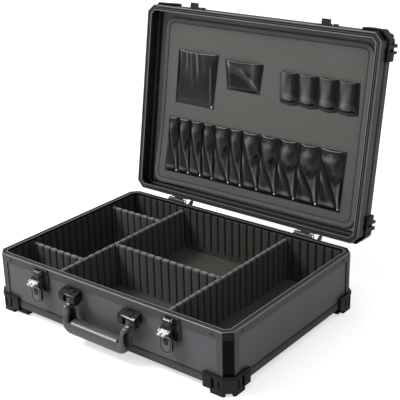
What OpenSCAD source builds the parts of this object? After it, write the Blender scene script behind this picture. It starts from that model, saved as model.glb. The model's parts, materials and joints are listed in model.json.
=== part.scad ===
// Hard tool case: extruded metal frame with flat panels, corner guards, two draw latches, a swinging handle,
// a lid on two hinges, a tool board with soft pockets, and lift-out padded dividers.
// All sizes are in millimetres. +Z is up, the front faces -Y, and Z = 0 is the plane the feet stand on.
// The lid is drawn shut and then turned back about the hinge axis by lid_open.

/* [Case] */
// Overall width of the frame, left to right
case_w = 460; // [380:1:560]
// Overall depth of the frame, front to back
case_d = 332; // [280:1:420]
// Height of the base frame from its underside to the rim
base_h = 89; // [70:1:140]
// Height of the lid frame from the rim to its top
lid_h = 38.5; // [34:0.5:60]
// Width of the 45 degree cut at each upright corner
corner_cut = 12; // [11:0.5:16]
// Height of the guard feet below the base frame
foot_h = 10; // [8:0.5:16]
// How far the lid is turned back from shut
lid_open = 99; // [0:1:105]

/* [Frame] */
// Thickness of the wall panels
panel_t = 6; // [4:0.5:8]
// Height of the rim flange on the outside
rim_flange = 13; // [10:0.5:18]
// Height of the edge flange on the outside of the base
edge_flange = 13; // [10:0.5:18]
// Height of the edge flange on the outside of the lid
lid_edge_flange = 16; // [12:0.5:18]
// Length of a corner guard along each face
guard_l = 44; // [36:1:54]
// Thickness of a corner guard
guard_t = 3; // [2:0.5:4]

/* [Inside] */
// Spacing of the ribs on the linings and dividers
rib_pitch = 15.2; // [12:0.1:20]
// Width of the groove between two ribs
groove_w = 3; // [2:0.5:5]
// Distance of each long divider from the middle
long_x = 108.5; // [90:0.5:130]
// Thickness of a divider
divider_t = 7.5; // [6:0.5:10]
// Distance from the rim down to the top of the dividers
divider_drop = 8; // [5:0.5:14]
// Place of the front left cross divider, back from the front face
cross_b = 73; // [60:1:95]
// Place of the back left cross divider, back from the front face
cross_c = 262; // [225:1:275]
// Place of the middle cross divider, back from the front face
cross_d = 146; // [120:1:200]

/* [Hardware] */
// Distance of each latch from the middle
latch_x = 130; // [115:1:150]
// Distance of each hinge from the middle
hinge_x = 133; // [115:1:150]
// Distance of each handle arm from the middle
handle_x = 61; // [52:1:75]
// Distance of the hinge axis behind the back face
hinge_back = 5.3; // [5:0.1:7]
// Distance from the handle pivots down to the middle of the grip
grip_drop = 41.9; // [36:0.1:48]
// Radius of the grip
grip_r = 12.2; // [10:0.1:13.5]

/* [Hidden] */
$fn = 48;
hw = case_w / 2;
hd = case_d / 2;
rim_z = foot_h + base_h;
lid_gap = 0.5;
lid_z = rim_z + lid_gap;
top_z = rim_z + lid_h;
skin = 1.5;
panel_out = skin + 0.1;
panel_in = skin + panel_t;
lip_in = panel_in + 0.1;
rim_in = lip_in + 1.6;
web_t = 1.6;
edge_block = 4.5;
floor_z = foot_h + web_t + 3;
mat_z = floor_z + 0.3;
lining_back_in = panel_in + 0.1;
lining_in = lining_back_in + 3;
in_x = hw - lining_in;
in_y = hd - lining_in;
post_in = skin + 3;
lining_top = rim_z - 4.7;
divider_top = rim_z - divider_drop;
mat_t = 2;
mat_lip = 4;
mat_lip_w = 9.5;
fit = 0.35;
hinge_y = hd + hinge_back;
hinge_z = rim_z - 1;
hinge_w = 35;
knuckle_r = 4;
hinge_pin_r = 2;
run = 0.05;
board_front = top_z - web_t - 3.1 - 2.9 - 3.1;
board_t = 3;
board_w = case_w - 46;
board_y0 = -hd + 20;
board_y1 = hd - 14;
board_r = 19;
board_l = board_y1 - board_y0;
board_room = board_front - lid_z;
// latch pivots, measured out from the front face and down from the rim
lever_out = 6.5;
lever_z = rim_z - 8;
link_out = 4.5;
link_z = rim_z - 13;
hook_turn = 92.6;
// handle pivot, measured the same way
grip_out = 10;
grip_z = rim_z - 27;
pivot_r = 2.5;
grip_end = handle_x + 1;
grip_mid = 16;

alu = [0.36, 0.36, 0.38];
dark = [0.2, 0.2, 0.21];
black = [0.08, 0.08, 0.09];
steel = [0.75, 0.75, 0.77];
foam = [0.25, 0.25, 0.26];
cloth = [0.42, 0.42, 0.42];

// distance left of the corner cut after the outline moves in by t
function cut_at(t) = max(0.4, corner_cut - (2 - sqrt(2)) * t);

// corner number i of the outline moved in by t
function corner_at(i, t) =
  let (h = hw - t, d = hd - t, c = cut_at(t))
  [
    [h, c - d], [h, d - c], [h - c, d], [c - h, d],
    [-h, d - c], [-h, c - d], [c - h, -d], [h - c, -d]
  ][i % 8];

module outline(t) {
  polygon([for (i = [0 : 7]) corner_at(i, t)]);
}

module ring(out, inn, z0, z1) {
  translate([0, 0, z0])
    linear_extrude(z1 - z0)
      difference() {
        outline(out);
        outline(inn);
      }
}

// takes the sharp outer edge off a ring that starts at z = 0: one straight cut along each of eight sides
module edge_cuts(r) {
  for (i = [0 : 7]) {
    turn = 45 * i;
    reach = (i % 2 == 1) ? (hw + hd - corner_cut) / sqrt(2) : ((i % 4 == 0) ? hw : hd);
    translate([reach * cos(turn), reach * sin(turn), 0])
      rotate([0, 0, turn + 90])
        rotate([90, 0, 90])
          linear_extrude(case_w + case_d, center = true)
            round_cut(r);
  }
}

// a section of (y, z) carried along x, centred
module bar_x(w) {
  rotate([90, 0, 90])
    linear_extrude(w, center = true)
      children();
}

module corners4() {
  for (mx = [0, 1])
    for (my = [0, 1])
      mirror([mx, 0, 0])
        mirror([0, my, 0])
          children();
}

module both_sides() {
  for (mx = [0, 1])
    mirror([mx, 0, 0])
      children();
}

// turns a piece drawn on the shut lid to the open place
module on_lid() {
  translate([0, hinge_y, hinge_z])
    rotate([-lid_open, 0, 0])
      translate([0, -hinge_y, -hinge_z])
        children();
}

// what a round of radius r, in three flats, takes off the corner at the origin of a section
module round_cut(r) {
  difference() {
    translate([-1, -1])
      square(r + 1);
    translate([r, r])
      circle(r, $fn = 12);
  }
}

// rim extrusion, from the rim plane up: flange outside, grooved web, short lip inside
module rim_ring() {
  difference() {
    ring(0, rim_in, 0, rim_flange);
    ring(skin, lip_in, 3, rim_flange + 1);
    ring(lip_in - 1, rim_in + 1, 4.5, rim_flange + 2);
    ring(2.6, 4.1, -1, 1.8);
    ring(4, 6.1, -2, 0.4);
    ring(6, 7.4, -1, 1.8);
    edge_cuts(1.2);
  }
}

// edge extrusion, from the outer plane up: flange outside, seat under the panel, lip and bead inside
module edge_ring(flange, lip, bead) {
  top = max(flange, lip + bead);
  difference() {
    ring(0, 16, 0, top);
    ring(edge_block, lip_in, web_t, top + 1);
    ring(skin, edge_block + 1, edge_block, top + 2);
    if (flange < top)
      ring(-1, skin + 1, flange, top + 3);
    if (lip + bead < top)
      ring(lip_in - 1, rim_in + 1, lip + bead, top + 3);
    if (bead > 0)
      ring(rim_in, rim_in + 2, web_t, lip);
    ring(bead > 0 ? rim_in + 1.2 : rim_in, 17, web_t, top + 4);
    ring(-1, 0.5, flange - 2.1, flange - 1.4);
    edge_cuts(3);
  }
}

module base_rim() {
  color(alu)
    translate([0, 0, rim_z])
      mirror([0, 0, 1])
        rim_ring();
}

module base_edge() {
  color(alu)
    translate([0, 0, foot_h])
      edge_ring(edge_flange, web_t + 3, 0);
}

// one upright corner post, drawn at the front right corner
module corner_post(z0, z1) {
  intersection() {
    ring(0, skin, z0, z1);
    translate([hw - corner_cut - 10.2, -hd - 1, z0 - 1])
      cube([60, corner_cut + 11.2, z1 - z0 + 2]);
  }
  intersection() {
    ring(skin - 0.2, post_in, z0, z1);
    translate([hw - corner_cut - 1.4, -hd - 1, z0 - 1])
      cube([60, corner_cut + 2.4, z1 - z0 + 2]);
  }
}

module base_posts() {
  color(dark)
    corners4()
      corner_post(foot_h + edge_flange, rim_z - rim_flange);
}

// a flat panel along x with a shallow groove beside the edge flange
module long_panel(z0, z1, groove_z) {
  w = case_w - 2 * corner_cut - 3;
  difference() {
    translate([-w / 2, -hd + panel_out, z0])
      cube([w, panel_in - panel_out, z1 - z0]);
    translate([-w / 2 - 1, -hd + skin - 1, groove_z - 0.6])
      cube([w + 2, 2, 1.2]);
  }
}

module short_panel(z0, z1, groove_z) {
  w = case_d - 2 * corner_cut - 3;
  difference() {
    translate([hw - panel_in, -w / 2, z0])
      cube([panel_in - panel_out, w, z1 - z0]);
    translate([hw - skin - 1, -w / 2 - 1, groove_z - 0.6])
      cube([2, w + 2, 1.2]);
  }
}

base_p0 = foot_h + edge_block + 0.1;
base_p1 = rim_z - 3.1;
base_gz = foot_h + edge_flange + 0.6;

module base_front_panel() {
  color(alu)
    long_panel(base_p0, base_p1, base_gz);
}

module base_back_panel() {
  color(alu)
    rotate([0, 0, 180])
      long_panel(base_p0, base_p1, base_gz);
}

module base_right_panel() {
  color(alu)
    short_panel(base_p0, base_p1, base_gz);
}

module base_left_panel() {
  color(alu)
    rotate([0, 0, 180])
      short_panel(base_p0, base_p1, base_gz);
}

module base_floor() {
  color(dark)
    translate([0, 0, foot_h + web_t])
      linear_extrude(3)
        outline(rim_in + 0.1);
}

// corner guards

// keeps only the part of the child near the front right corner
module near_corner(lx, ly, z0, z1) {
  intersection() {
    children();
    translate([hw - lx, -hd - 20, z0])
      cube([lx + 20, ly + 20, z1 - z0]);
  }
}

// broad plates that stand proud at the two ends of a guard
module guard_plates(z0, z1) {
  translate([hw - guard_l, -hd - guard_t - 1, z0])
    cube([guard_l - 29.3, 1.2, z1 - z0]);
  translate([hw + guard_t - 0.2, -hd + 29.3, z0])
    cube([1.2, guard_l - 29.3, z1 - z0]);
}

// inboard adds the low foot block that only two opposite corners have
module base_guard(inboard) {
  gz = foot_h - 3;
  gt = foot_h + 21;
  difference() {
    union() {
      near_corner(guard_l, guard_l, 0, 200)
        ring(-guard_t, 0, gz, gt);
      near_corner(guard_l, guard_l, 0, 200)
        ring(-guard_t - 1.1, 0, gt - 2.2, gt);
      near_corner(guard_l, guard_l, 0, 200)
        ring(-guard_t - 0.9, 0, gt - 5.6, gt - 3.6);
      if (inboard)
        near_corner(guard_l + 16, guard_l, 0, 200)
          ring(0.6, 22, foot_h - 7.5, foot_h);
      guard_plates(gz, gt - 5);
      near_corner(guard_l, guard_l, 0, 200)
        ring(-guard_t, 26, gz, foot_h);
      near_corner(32, 32, 0, 200)
        ring(-guard_t, 15, 0, foot_h);
    }
    // open slots beside the rib on each face
    translate([hw - 29.3, -hd - 5, foot_h - 1])
      cube([4.8, 4.2, 15]);
    translate([hw + 0.8, -hd + 24.5, foot_h - 1])
      cube([4.2, 4.8, 15]);
    // shallow step between the rib and the cut corner
    translate([hw - 18, -hd - guard_t - 1, foot_h - 1])
      cube([3.6, 2.2, 15]);
    translate([hw + guard_t - 1.2, -hd + 14.4, foot_h - 1])
      cube([2.2, 3.6, 15]);
    // valley between the two foot tips
    translate([hw, -hd, -1])
      rotate([0, 0, -45])
        translate([-60, -5, 0])
          cube([120, 10, 5.5]);
  }
}

module base_guards() {
  color(black)
    for (turn = [0, 180])
      rotate([0, 0, turn]) {
        base_guard(false);
        mirror([1, 0, 0])
          base_guard(true);
      }
}

module lid_guard() {
  gz = top_z - 20.5;
  gt = top_z + 1.6;
  difference() {
    union() {
      near_corner(guard_l, guard_l, 0, 300)
        ring(-guard_t, 0, gz, gt);
      near_corner(guard_l, guard_l, 0, 300)
        ring(-guard_t - 1.1, 0, gz, gz + 2.2);
      near_corner(guard_l, guard_l, 0, 300)
        ring(-guard_t - 0.9, 0, gz + 3.6, gz + 5.6);
      near_corner(guard_l, guard_l, 0, 300)
        ring(-guard_t, 26, top_z, gt);
      guard_plates(gz + 5, gt);
      // three ribs that carry the case when it lies on its lid
      near_corner(36, 36, 0, 300)
        intersection() {
          ring(-guard_t, 13, gt - 0.2, top_z + 12.5);
          union() {
            translate([hw - 33, -hd - 20, 0])
              cube([4.5, 40, 300]);
            translate([hw - 20, -hd + 28.5, 0])
              cube([40, 4.5, 300]);
            translate([hw - 23, -hd - 20, 0])
              cube([5.5, 40, 300]);
            translate([hw - 20, -hd + 17.5, 0])
              cube([40, 5.5, 300]);
            translate([hw, -hd, 0])
              rotate([0, 0, -45])
                translate([-30, -3, 0])
                  cube([60, 6, top_z + 7.5]);
          }
        }
    }
    translate([hw - 29.3, -hd - 5, gz + 7])
      cube([4.8, 4.2, 12]);
    translate([hw + 0.8, -hd + 24.5, gz + 7])
      cube([4.2, 4.8, 12]);
    translate([hw - 18, -hd - guard_t - 1, gz + 7])
      cube([3.6, 2.2, 12]);
    translate([hw + guard_t - 1.2, -hd + 14.4, gz + 7])
      cube([2.2, 3.6, 12]);
  }
}

module lid_guards() {
  color(black)
    on_lid()
      corners4()
        lid_guard();
}

// frame screws

module screw_head() {
  difference() {
    cylinder(r = 3, h = 1);
    translate([-2, -0.4, 0.4])
      cube([4, 0.8, 1]);
    translate([-0.4, -2, 0.4])
      cube([0.8, 4, 1]);
  }
}

module frame_screws() {
  color(steel) {
    corners4()
      translate([hw - 30, -hd, rim_z - 7.3])
        rotate([90, 0, 0])
          screw_head();
    corners4()
      translate([hw, -hd + 31.5, rim_z - 7.3])
        rotate([0, 90, 0])
          screw_head();
  }
}

// linings, mat and dividers

// plan of a ribbed strip of length l along x, ribs towards +y, back at y = 0
module ribbed_strip(l, t, shift) {
  n = ceil(l / rib_pitch / 2) + 1;
  difference() {
    translate([-l / 2, 0])
      square([l, t]);
    for (k = [-n : n])
      translate([shift + k * rib_pitch, t])
        polygon([
          [-groove_w / 2 - 0.8, 0.1], [-groove_w / 2, -0.8], [-groove_w / 2 + 0.3, -2],
          [groove_w / 2 - 0.3, -2], [groove_w / 2, -0.8], [groove_w / 2 + 0.8, 0.1]
        ]);
  }
}

// how far a lining ends from the outer face, clear of the cut corner of a post
lining_end = cut_at(post_in + 0.1) + 2 * (post_in + 0.1) - lining_back_in + 0.3;

// plain strip at the foot and ribs above
module lining(l) {
  lz = mat_z + 11;
  translate([0, 0, lz])
    linear_extrude(lining_top - lz)
      ribbed_strip(l, 3, 0);
  translate([-l / 2, 0, mat_z])
    cube([l, 2.2, lz - mat_z]);
}

module lining_front() {
  color(foam)
    translate([0, lining_back_in - hd, 0])
      lining(2 * (hw - lining_end));
}

module lining_back() {
  color(foam)
    rotate([0, 0, 180])
      translate([0, lining_back_in - hd, 0])
        lining(2 * (hw - lining_end));
}

module lining_right() {
  color(foam)
    rotate([0, 0, 90])
      translate([0, lining_back_in - hw, 0])
        lining(2 * (hd - lining_end));
}

module lining_left() {
  color(foam)
    rotate([0, 0, -90])
      translate([0, lining_back_in - hw, 0])
        lining(2 * (hd - lining_end));
}

module floor_mat() {
  mx = in_x - 0.2;
  my = in_y - 0.2;
  color(foam)
    translate([0, 0, mat_z])
      difference() {
        translate([-mx, -my, 0])
          cube([2 * mx, 2 * my, mat_lip]);
        translate([mat_lip_w - mx, mat_lip_w - my, mat_t])
          cube([2 * (mx - mat_lip_w), 2 * (my - mat_lip_w), mat_lip]);
      }
}

// a divider of length l along x, ribbed on both faces, round along its top
module divider(l, shift, notch_left, notch_right) {
  z0 = mat_z + mat_t + fit;
  r = divider_t / 2;
  n = ceil(l / rib_pitch / 2) + 1;
  difference() {
    union() {
      translate([-l / 2, -r, z0])
        cube([l, divider_t, divider_top - r - z0]);
      translate([0, 0, divider_top - r])
        rotate([0, 90, 0])
          cylinder(r = r, h = l, center = true);
    }
    for (k = [-n : n])
      for (s = [0, 1])
        mirror([0, s, 0])
          translate([shift + k * rib_pitch - groove_w / 2, r - 1.8, z0 - 1])
            cube([groove_w, 5, divider_top - z0 + 5]);
    if (notch_left)
      translate([-l / 2 - 1, -20, z0 - 5])
        cube([mat_lip_w + 1.5, 40, mat_lip - mat_t + 5]);
    if (notch_right)
      translate([l / 2 - mat_lip_w - 0.5, -20, z0 - 5])
        cube([mat_lip_w + 1.5, 40, mat_lip - mat_t + 5]);
  }
}

module long_divider(x) {
  translate([x, 0, 0])
    rotate([0, 0, 90])
      divider(2 * (in_y - fit), rib_pitch / 2, true, true);
}

module divider_left() {
  color(foam)
    long_divider(-long_x);
}

module divider_right() {
  color(foam)
    long_divider(long_x);
}

module left_cross(y) {
  x0 = fit - in_x;
  x1 = -long_x - divider_t / 2 - fit;
  mid = (x0 + x1) / 2;
  translate([mid, y, 0])
    divider(x1 - x0, -mid - rib_pitch * round(-mid / rib_pitch), true, false);
}

module divider_front_left() {
  color(foam)
    left_cross(cross_b - hd);
}

module divider_back_left() {
  color(foam)
    left_cross(cross_c - hd);
}

module divider_middle() {
  color(foam)
    translate([0, cross_d - hd, 0])
      divider(2 * (long_x - divider_t / 2 - fit), rib_pitch / 2, false, false);
}

// hinges

module knuckle(w) {
  difference() {
    translate([0, hinge_y, hinge_z])
      rotate([0, 90, 0])
        cylinder(r = knuckle_r, h = w, center = true);
    translate([0, hinge_y, hinge_z])
      rotate([0, 90, 0])
        cylinder(r = hinge_pin_r + run, h = w + 2, center = true);
  }
}

module hinge_base_leaf() {
  kw = 10;
  translate([-hinge_w / 2, hd, hinge_z - 26])
    cube([hinge_w, 2, 22]);
  for (s = [-1, 1])
    translate([s * (hinge_w - kw) / 2, 0, 0]) {
      knuckle(kw);
      difference() {
        bar_x(kw)
          polygon([
            [hd, hinge_z - 10], [hd + 2, hinge_z - 10], [hinge_y + 3.9, hinge_z - 1],
            [hinge_y, hinge_z + 0.5], [hd + 0.6, hinge_z - 1.2], [hd, hinge_z - 3]
          ]);
        translate([0, hinge_y, hinge_z])
          rotate([0, 90, 0])
            cylinder(r = hinge_pin_r + run, h = kw + 2, center = true);
      }
    }
  // stop that carries the lid when it is turned right back
  translate([29.5, 0, 0])
    bar_x(3)
      polygon([
        [hd, hinge_z - 14], [hd, hinge_z - 0.2], [hinge_y + 1.2, hinge_z + 4.6],
        [hinge_y + 7.5, hinge_z + 3.6], [hinge_y + 7.5, hinge_z]
      ]);
  translate([22, hd, hinge_z - 12])
    cube([9, 1.2, 10]);
}

module hinge_base_leaves() {
  color(steel)
    for (x = [-hinge_x, hinge_x])
      translate([x, 0, 0])
        hinge_base_leaf();
}

module hinge_pins() {
  color(steel)
    for (x = [-hinge_x, hinge_x])
      translate([x, hinge_y, hinge_z])
        rotate([0, 90, 0]) {
          cylinder(r = hinge_pin_r, h = hinge_w + 0.2, center = true);
          translate([0, 0, hinge_w / 2 + 0.1])
            cylinder(r = 3.2, h = 1.2);
          translate([0, 0, -hinge_w / 2 - 1.3])
            cylinder(r = 3.2, h = 1.2);
        }
}

module hinge_lid_leaf() {
  kw = hinge_w - 20.8;
  translate([-hinge_w / 2, hd, hinge_z + 5.5])
    cube([hinge_w, 2, 21]);
  knuckle(kw);
  difference() {
    bar_x(kw)
      polygon([
        [hd + 0.4, hinge_z + 12], [hd + 0.4, hinge_z + 1.4], [hinge_y - 3.3, hinge_z - 1],
        [hinge_y, hinge_z + 0.5], [hinge_y + 3.9, hinge_z + 0.6], [hd + 2, hinge_z + 9]
      ]);
    translate([0, hinge_y, hinge_z])
      rotate([0, 90, 0])
        cylinder(r = hinge_pin_r + run, h = kw + 2, center = true);
  }
}

module hinge_lid_leaves() {
  color(steel)
    on_lid()
      for (x = [-hinge_x, hinge_x])
        translate([x, 0, 0])
          hinge_lid_leaf();
}

// lid

module lid_rim() {
  color(alu)
    on_lid()
      translate([0, 0, lid_z])
        rim_ring();
}

module lid_edge() {
  color(alu)
    on_lid()
      translate([0, 0, top_z])
        mirror([0, 0, 1])
          edge_ring(lid_edge_flange, 14.4, 2);
}

lid_p0 = lid_z + 3.1;
lid_p1 = top_z - edge_block - 0.1;
lid_gz = top_z - lid_edge_flange - 0.6;

module lid_posts() {
  color(dark)
    on_lid()
      corners4()
        corner_post(lid_z + rim_flange, top_z - lid_edge_flange);
}

module lid_front_panel() {
  color(alu)
    on_lid()
      long_panel(lid_p0, lid_p1, lid_gz);
}

module lid_back_panel() {
  color(alu)
    on_lid()
      rotate([0, 0, 180])
        long_panel(lid_p0, lid_p1, lid_gz);
}

module lid_right_panel() {
  color(alu)
    on_lid()
      short_panel(lid_p0, lid_p1, lid_gz);
}

module lid_left_panel() {
  color(alu)
    on_lid()
      rotate([0, 0, 180])
        short_panel(lid_p0, lid_p1, lid_gz);
}

module lid_top_panel() {
  color(dark)
    on_lid()
      translate([0, 0, top_z - web_t - 3])
        linear_extrude(3)
          outline(rim_in + 0.1);
}

module lid_foam() {
  color(cloth)
    on_lid()
      translate([0, 0, top_z - web_t - 6])
        linear_extrude(2.9)
          outline(rim_in + 1.6);
}

// board outline moved in by t
module board_outline(t) {
  r = board_r - t;
  hull_w = board_w / 2 - board_r;
  y0 = board_y0 + board_r;
  y1 = board_y1 - board_r;
  for (x = [-hull_w, hull_w])
    for (y = [y0, y1])
      translate([x, y])
        circle(r);
  translate([-hull_w, y0 - r])
    square([2 * hull_w, y1 - y0 + 2 * r]);
  translate([-hull_w - r, y0])
    square([2 * (hull_w + r), y1 - y0]);
}

module tool_board() {
  color(cloth)
    on_lid()
      translate([0, 0, board_front])
        difference() {
          linear_extrude(board_t)
            board_outline(0);
          translate([0, 0, -1])
            linear_extrude(1.4)
              difference() {
                board_outline(8);
                board_outline(9);
              }
        }
}

// pockets on the board, each an open tray with its mouth towards the front of the shut lid

module pocket_tray(w, l, deep, wall) {
  difference() {
    translate([0, 0, -deep])
      cube([w, l, deep - 0.05]);
    translate([wall, -1, wall - deep])
      cube([w - 2 * wall, l + 1 - wall, deep]);
  }
}

// u and v are shares of the board: u across from the middle, v back from the front end
module pocket_place(u, v) {
  on_lid()
    translate([u * board_w, board_y0 + v * board_l, board_front])
      children();
}

module pocket_large() {
  color(dark)
    pocket_place(-0.4203, 0.1795)
      pocket_tray(0.2077 * board_w, 0.3154 * board_l, 0.4 * board_room, 1.2);
}

module pocket_small() {
  color(dark)
    pocket_place(-0.1691, 0.1963)
      pocket_tray(0.1812 * board_w, 0.1678 * board_l, 0.37 * board_room, 1.2);
}

module pocket_strip() {
  w = 0.3575 * board_w / 4;
  color(dark)
    pocket_place(0.1014, 0.2097)
      for (k = [0 : 3])
        translate([k * w, 0, 0])
          pocket_tray(w + 0.01, 0.1711 * board_l, 0.33 * board_room, 1.2);
}

// shares of the board width where the row of tool pockets is divided
row_u = [-0.4469, -0.3237, -0.2609, -0.1957, -0.1184, -0.0556, 0.0362, 0.128, 0.2222, 0.3188, 0.4372];

module pocket_row() {
  color(dark)
    for (k = [0 : 9])
      pocket_place(row_u[k], 0.5822)
        pocket_tray((row_u[k + 1] - row_u[k]) * board_w + 0.01, 0.3389 * board_l, 0.44 * board_room, 1.2);
}

module rivet_at(u, v) {
  pocket_place(u, v)
    translate([0, 0, -2])
      cylinder(r = 2.2, h = 1.9);
}

module pocket_rivets() {
  color(steel) {
    for (k = [0 : 10])
      rivet_at(min(max(row_u[k], row_u[0] + 0.0073), row_u[10] - 0.0073), 0.9312);
    rivet_at(-0.2053, 0.5051);
  }
}

// keepers on the lid front

module keeper() {
  z = rim_z + 5;
  translate([-20, -hd - 2, z - 0.5])
    cube([40, 2, 8]);
  translate([12, -hd - 4.2, z + 0.5])
    cube([7, 2.3, 6]);
  translate([-8.25, -hd - 11, z - 1])
    cube([16.5, 9.2, 1.6]);
  translate([-8.25, -hd - 4, z - 1])
    cube([16.5, 2.1, 6]);
}

module keepers() {
  color(steel)
    on_lid()
      for (x = [-latch_x, latch_x])
        translate([x, 0, 0])
          keeper();
}

// latches

module latch_plate() {
  z0 = rim_z - 38;
  z1 = rim_z - 1.2;
  difference() {
    translate([-16.5, -hd - 2, z0])
      cube([33, 2, z1 - z0]);
    translate([0, -hd, z0 + 2])
      rotate([90, 0, 0])
        cylinder(r = 3.2, h = 10, center = true);
  }
  // folded top lip
  translate([-16.5, -hd - 3.8, z1 - 1.6])
    cube([33, 1.9, 1.6]);
  // two cheeks that carry the lever pin, clear of the link pin that moves with the lever
  for (s = [-1, 1])
    translate([s * 6.7, 0, 0])
      difference() {
        union() {
          bar_x(1.2)
            polygon([
              [-hd - 1.9, lever_z - 2.2], [-hd - 1.9, lever_z + 5.8], [-hd - 6, lever_z + 5.4],
              [-hd - lever_out - 2.44, lever_z + 2.37], [-hd - lever_out, lever_z],
              [-hd - lever_out + 0.95, lever_z - 3.26]
            ]);
          translate([0, -hd - lever_out, lever_z])
            rotate([0, 90, 0])
              cylinder(r = 3.4, h = 1.2, center = true);
        }
        translate([0, -hd - lever_out, lever_z])
          rotate([0, 90, 0])
            cylinder(r = 1.5, h = 5, center = true);
      }
}

module latch_plates() {
  color(steel)
    for (x = [-latch_x, latch_x])
      translate([x, 0, 0])
        latch_plate();
}

module lever_pins() {
  color(steel)
    for (x = [-latch_x, latch_x])
      translate([x, -hd - lever_out, lever_z])
        rotate([0, 90, 0])
          cylinder(r = 1.5, h = 14.8, center = true);
}

// oval finger plate of the lever moved in by t, drawn in x and z
module finger_outline(t) {
  translate([0, rim_z - 45])
    circle(11 - t);
  translate([t - 11, rim_z - 45])
    square([22 - 2 * t, 15 - t]);
}

// lever: round head on its pin, a shank, and an oval finger plate with a lock bore
module lever(x) {
  translate([x, 0, 0])
    difference() {
      union() {
        translate([0, -hd - lever_out, lever_z])
          rotate([0, 90, 0])
            cylinder(r = 4.1, h = 11.6, center = true);
        bar_x(11.6)
          polygon([
            [-hd - 2.9, lever_z], [-hd - 10.4, lever_z], [-hd - 12.6, rim_z - 24],
            [-hd - 13.4, rim_z - 32], [-hd - 9, rim_z - 32], [-hd - 6.5, rim_z - 22], [-hd - 3.1, rim_z - 14]
          ]);
        translate([0, -hd - 8.2, 0])
          rotate([90, 0, 0])
            linear_extrude(5.4) {
              finger_outline(0);
              translate([-9, rim_z - 31])
                square([18, 3]);
            }
      }
      translate([0, -hd - lever_out, lever_z])
        rotate([0, 90, 0])
          cylinder(r = 1.5 + run, h = 20, center = true);
      translate([0, -hd - link_out, link_z])
        rotate([0, 90, 0])
          cylinder(r = 1 + run, h = 20, center = true);
      translate([0, -hd - 5, rim_z - 37.5])
        rotate([90, 0, 0])
          cylinder(r = 4.6, h = 20);
      // pressed line that follows the edge of the finger plate
      translate([0, -hd - 12.7, 0])
        rotate([90, 0, 0])
          linear_extrude(3)
            difference() {
              finger_outline(1.7);
              finger_outline(3.1);
            }
    }
}

module lever_left() {
  color(black)
    lever(-latch_x);
}

module lever_right() {
  color(black)
    lever(latch_x);
}

module lock(x) {
  translate([x, -hd - 7.2, rim_z - 37.5])
    rotate([90, 0, 0])
      difference() {
        union() {
          cylinder(r = 4.55, h = 3);
          cylinder(r = 3.5, h = 7.2);
        }
        translate([-0.5, -1.8, 5])
          cube([1, 3.6, 4]);
      }
}

module lock_left() {
  color(steel)
    lock(-latch_x);
}

module lock_right() {
  color(steel)
    lock(latch_x);
}

// hook drawn in its shut place, then turned down to rest
module hook_shut() {
  dir = 66;
  translate([0, -hd - link_out, link_z]) {
    // pin through the lever and the two arms
    rotate([0, 90, 0])
      cylinder(r = 1, h = 19, center = true);
    for (s = [-1, 1])
      translate([s * 8.6, 0, 0])
        bar_x(1.2)
          rotate([0, 0, 180 - dir])
            union() {
              circle(2);
              translate([0, -1])
                square([16, 2]);
            }
    // plate across the arms, notched in the middle of its far edge
    bar_x(18.4)
      rotate([0, 0, 180 - dir])
        translate([14.4, -0.6])
          square([1.6, 1.2]);
    difference() {
      bar_x(12)
        rotate([0, 0, 180 - dir])
          translate([10.6, -0.6])
            square([11.2, 1.2]);
      translate([-1.6, -20, 15])
        cube([3.2, 20, 9]);
    }
    for (s = [-1, 1])
      translate([s * 3.8, -8.9, 19.3])
        translate([-2.2, 0, 0])
          cube([4.4, 3, 1.2]);
  }
}

module hook(x) {
  translate([x, -hd - link_out, link_z])
    rotate([hook_turn, 0, 0])
      translate([0, hd + link_out, -link_z])
        hook_shut();
}

module hook_left() {
  color(steel)
    hook(-latch_x);
}

module hook_right() {
  color(steel)
    hook(latch_x);
}

// handle

module handle_bracket() {
  difference() {
    union() {
      for (e = [[-11.4, 11.2], [11.4, 11.2]])
        translate([e[0], 0, 0])
          bar_x(e[1])
            polygon([
              [-hd, rim_z - 29], [-hd, rim_z - 15], [-hd - 4, rim_z - 15.2], [-hd - 14.8, rim_z - 18.4],
              [-hd - 17.5, rim_z - 20.6], [-hd - 17.5, rim_z - 31],
              [-hd - 14, rim_z - 35], [-hd - 8, rim_z - 35]
            ]);
      translate([-17, -hd - 2.6, rim_z - 29])
        cube([34, 2.6, 14]);
      bar_x(34)
        polygon([
          [-hd - 14.8, rim_z - 21.6], [-hd - 14.8, rim_z - 18.4],
          [-hd - 17.5, rim_z - 20.6], [-hd - 17.5, rim_z - 21.6]
        ]);
    }
    translate([0, -hd - grip_out, grip_z])
      rotate([0, 90, 0])
        cylinder(r = pivot_r, h = 60, center = true);
  }
}

module handle_brackets() {
  color(black)
    both_sides()
      translate([handle_x - 1.5, 0, 0])
        handle_bracket();
}

module handle_pins() {
  color(steel)
    both_sides()
      translate([handle_x - 1.5, -hd - grip_out, grip_z])
        rotate([0, 90, 0]) {
          cylinder(r = pivot_r, h = 34, center = true);
          translate([0, 0, 17])
            cylinder(r = 3.6, h = 1.4);
        }
}

// points of a smooth curve that leaves a for b and ends at c
function bend(a, b, c) =
  [for (i = [0 : 6]) let (t = i / 6) (1 - t) * (1 - t) * a + 2 * t * (1 - t) * b + t * t * c];

// side view of one arm, with every place measured out from the front face and down from the pivot
module arm_side() {
  mirror([1, 0])
    translate([hd, grip_z])
      mirror([0, 1])
        polygon(concat(
          [[grip_out + 4.2, -1]],
          bend([grip_out + 4.2, 8], [grip_out + 4.6, 11.4], [grip_out + 9.5, 13.4]),
          bend([grip_out + 11.4, 14.8], [grip_out + 14.6, 17.5], [grip_out + 14.8, 26]),
          [[grip_mid + grip_r - 0.6, grip_drop - 2], [grip_mid, grip_drop + 4]],
          [[grip_mid + 0.4 - grip_r, grip_drop - 2]],
          bend([grip_out - 5.6, 26], [grip_out - 4.2, 16], [grip_out - 4.2, 8]),
          [[grip_out - 4.2, -1]]
        ));
}

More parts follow.
